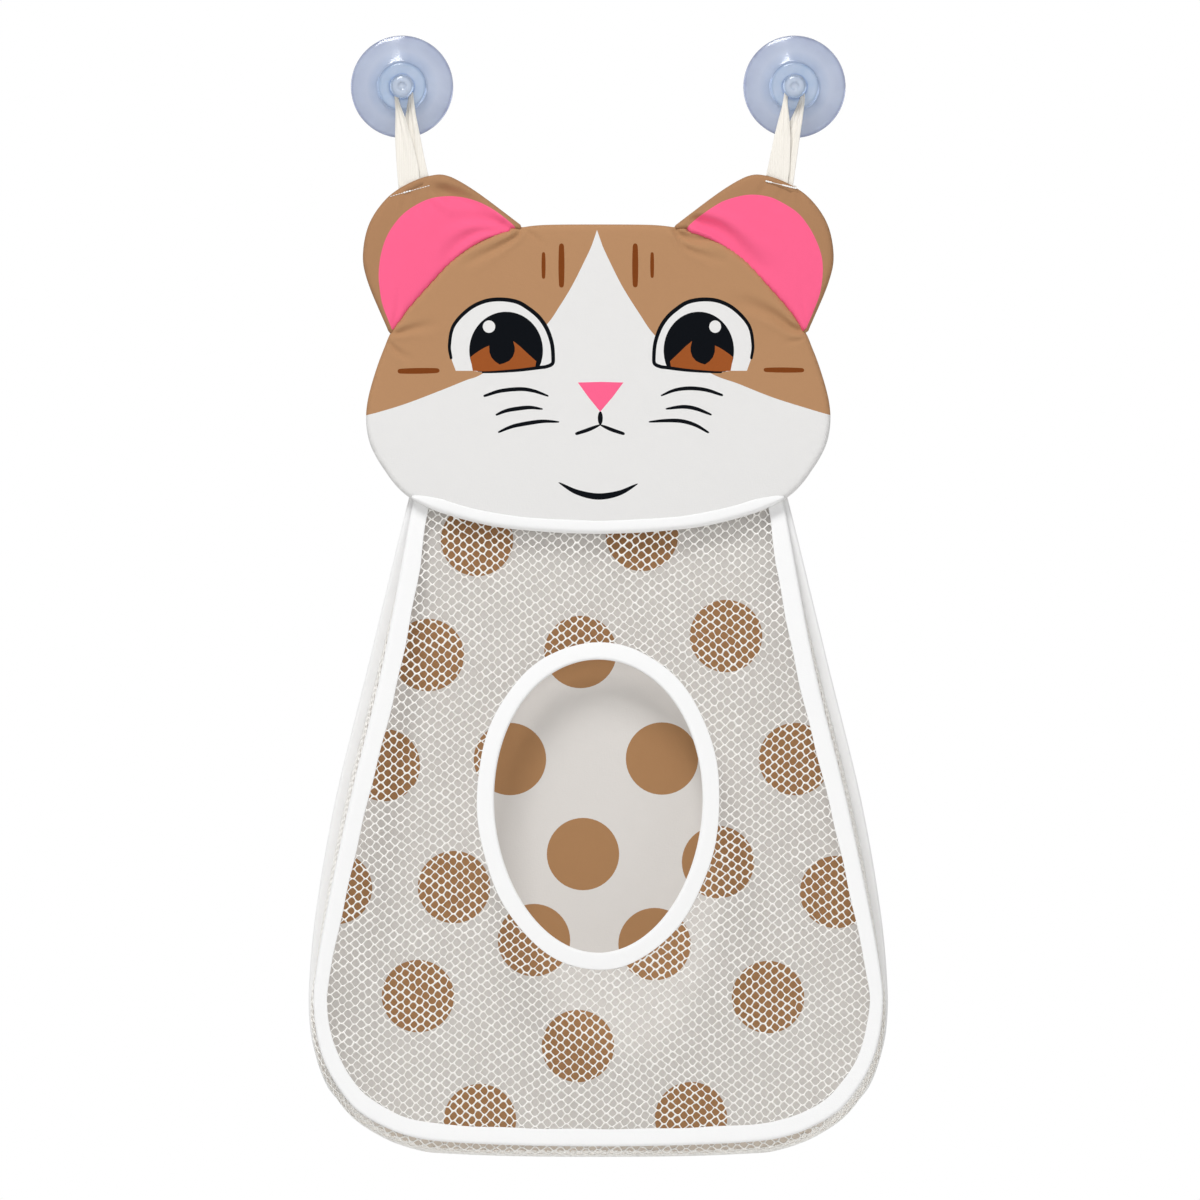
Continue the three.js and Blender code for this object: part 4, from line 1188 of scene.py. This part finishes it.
white_net = knitted("white_net")
cells, middles = hexagons(*FRONT_CELLS)
kept = inside(middles, front_edge) & (edge_distance(middles, front_edge, closed=False) > NET_UNDER_TAPE)
kept &= ~inside(middles, opening_edge) & (edge_distance(middles, opening_edge) > NET_UNDER_OPENING)
kept &= ~inside(middles, head_outline) | (edge_distance(middles, head_outline) < NET_UNDER_TAPE)
kept &= middles[:, 1] < KNEE_Z + NET_RISE
points, faces, area = knit(cells[kept], lay_front)
front_net = piece("front_net", points, faces, [white_net], "bag", ["front_mesh"])
area * MM * MM


def strip_rim(line, y_of, lift):
    """One rim of the gusset net: points along an edge of the bag, without its ends."""
    run = run_of(line)
    places = np.linspace(GUSSET_SHARE, 1 - GUSSET_SHARE, STATIONS) * run[-1]
    flat = points_at(places, run, line)
    return in_space(flat, y_of(flat[:, 1]) + lift)


back_inset = np.interp(back_edge[:, 1], INSET_RUN, GUSSET_INSETS[:0:-1])[:, None]
front_rim = strip_rim(front_edge + left_of(front_edge) * GUSSET_INSETS[0], front_y, RIM_LIFT)
back_rim = strip_rim(back_edge + left_of(back_edge) * back_inset, back_y, -RIM_LIFT)
middle_run = run_of((front_rim + back_rim) / 2)
widths = np.linalg.norm(back_rim - front_rim, axis=1)
widths[back_rim[:, 1] - front_rim[:, 1] < BINDING_DEPTH] = 0


def lay_gusset(flat, through):
    """Bends the gusset net round from rim to rim. It bulges out low in the bag and hangs slack above."""
    place, across = warped(flat).T
    width = np.maximum(np.interp(place, middle_run, widths), LEAST_WIDTH)
    share = np.clip(0.5 + across / width, 0, 1)[:, None]
    front = points_at(place, middle_run, front_rim)
    back = points_at(place, middle_run, back_rim)
    run = points_at(place + AHEAD, middle_run, back_rim) - back
    out = np.cross(back - front, run)
    out /= np.maximum(np.linalg.norm(out, axis=1), 1e-6)[:, None]
    low = eased(np.clip((BULGE_TOP[0] - front[:, 2]) / BULGE_TOP[1], 0, 1))[:, None]
    rise = np.sin(np.pi / 2 * np.clip(share * width[:, None] / BULGE_RISE, 0, 1)) * (1 - share ** 3)
    slack = GUSSET_SLACK * (share * (1 - share) * 4) * np.minimum(width / SLACK_WIDTH, 1)[:, None]
    bulge = np.interp(-front[:, 2], BULGE_RUN, GUSSET_BULGE)[:, None]
    return front + (back - front) * share + out * (through[:, None] + slack * (1 - low) + bulge * rise * low)


cells, middles = hexagons((0, int(middle_run[-1] / CELL[0])), GUSSET_ROWS)
kept = np.abs(middles[:, 1]) < np.interp(middles[:, 0], middle_run, widths) / 2 - GUSSET_ROOM
points, faces, area = knit(cells[kept], lay_gusset)
gusset_net = piece("gusset_net", points, faces, [white_net], "bag", ["gusset_mesh"])
area * MM * MM

# Back panel: one ply of light grey polyester with printed brown dots. It hangs flat against the wall in its
# tape, and its upper edge is sewn to the lining of the head.
PANEL_FLAP = ((78, -186), (78, -203))
PANEL_CORNER = (84, -207.5)
TOP_POINTS = 50
LIFT_Z = -206
LIFT_RUN = 14
LIFT = 0.75
PANEL_INSET = 3.4
PANEL_DROP = 2.5
PANEL_FOLD = 0.55
FOLD_FREE = (4, 30)
PANEL_CLOTH = 0.5
PANEL_STEP = 3.2
DOT_RADIUS = 36.2
DOT_SIDES = 48
DOTS = [
    (477, 540), (642, 535), (580.5, 652), (428, 655), (726, 636), (384, 765), (510, 759), (662, 758.5),
    (795, 759), (336, 888), (454, 887), (583, 854), (718, 862), (836, 892), (418, 996), (534, 940),
    (654.5, 944), (768, 997), (578, 1046), (480, 1120), (691, 1118), (860, 655), (316, 1120), (880, 1120),
]
panel_side = back_edge + left_of(back_edge) * PANEL_INSET
panel_side = panel_side[panel_side[:, 1] < KNEE_Z - PANEL_DROP]
top_x, top_z = PANEL_FLAP[0]
panel_top = [(x, top_z) for x in np.linspace(top_x, -top_x, TOP_POINTS)[1:-1]]
panel_outline = np.concatenate([
    spline([(-x, z) for x, z in PANEL_FLAP], TAPE_STEP), [(-PANEL_CORNER[0], PANEL_CORNER[1])],
    panel_side, [PANEL_CORNER], spline(PANEL_FLAP[::-1], TAPE_STEP), panel_top,
])
dots = [from_photo(oval(dot, DOT_RADIUS, DOT_RADIUS, DOT_SIDES)) for dot in DOTS]
dots = [dot for dot in dots if inside(dot, panel_outline).any()]
points, triangles, tints = patch(panel_outline, PANEL_STEP, dots)
x, z = points.T
lift = eased(np.clip((z - LIFT_Z) / LIFT_RUN, 0, 1))
free = np.clip((edge_distance(points, panel_outline) - FOLD_FREE[0]) / FOLD_FREE[1], 0, 1)
fold = PANEL_FOLD * (1 + np.sin(x / 21 + 0.7 * np.sin(z / 60)) * np.cos(z / 85)) * free
hang = back_y(z)
hang = hang + (HEAD_BACK_Y + LIFT - hang) * lift - fold * (1 - lift)
panel_points, faces = thick(in_space(points, hang + PANEL_CLOTH / 2), triangles, PANEL_CLOTH)
shades = list(np.minimum(tints, 1)) * 2
shades += [0] * (len(faces) - len(shades))
panel_cloth = [cotton("panel_cloth", "#d9d5d1", 0.014), cotton("dot_print", "#a67d57", 0.03)]
panel = piece("dotted_panel", panel_points, faces, panel_cloth, "bag", ["back_panel"],
              tints=shades)
panel_area = area_of(in_space(points, 0)[triangles])
panel_area * MM * MM
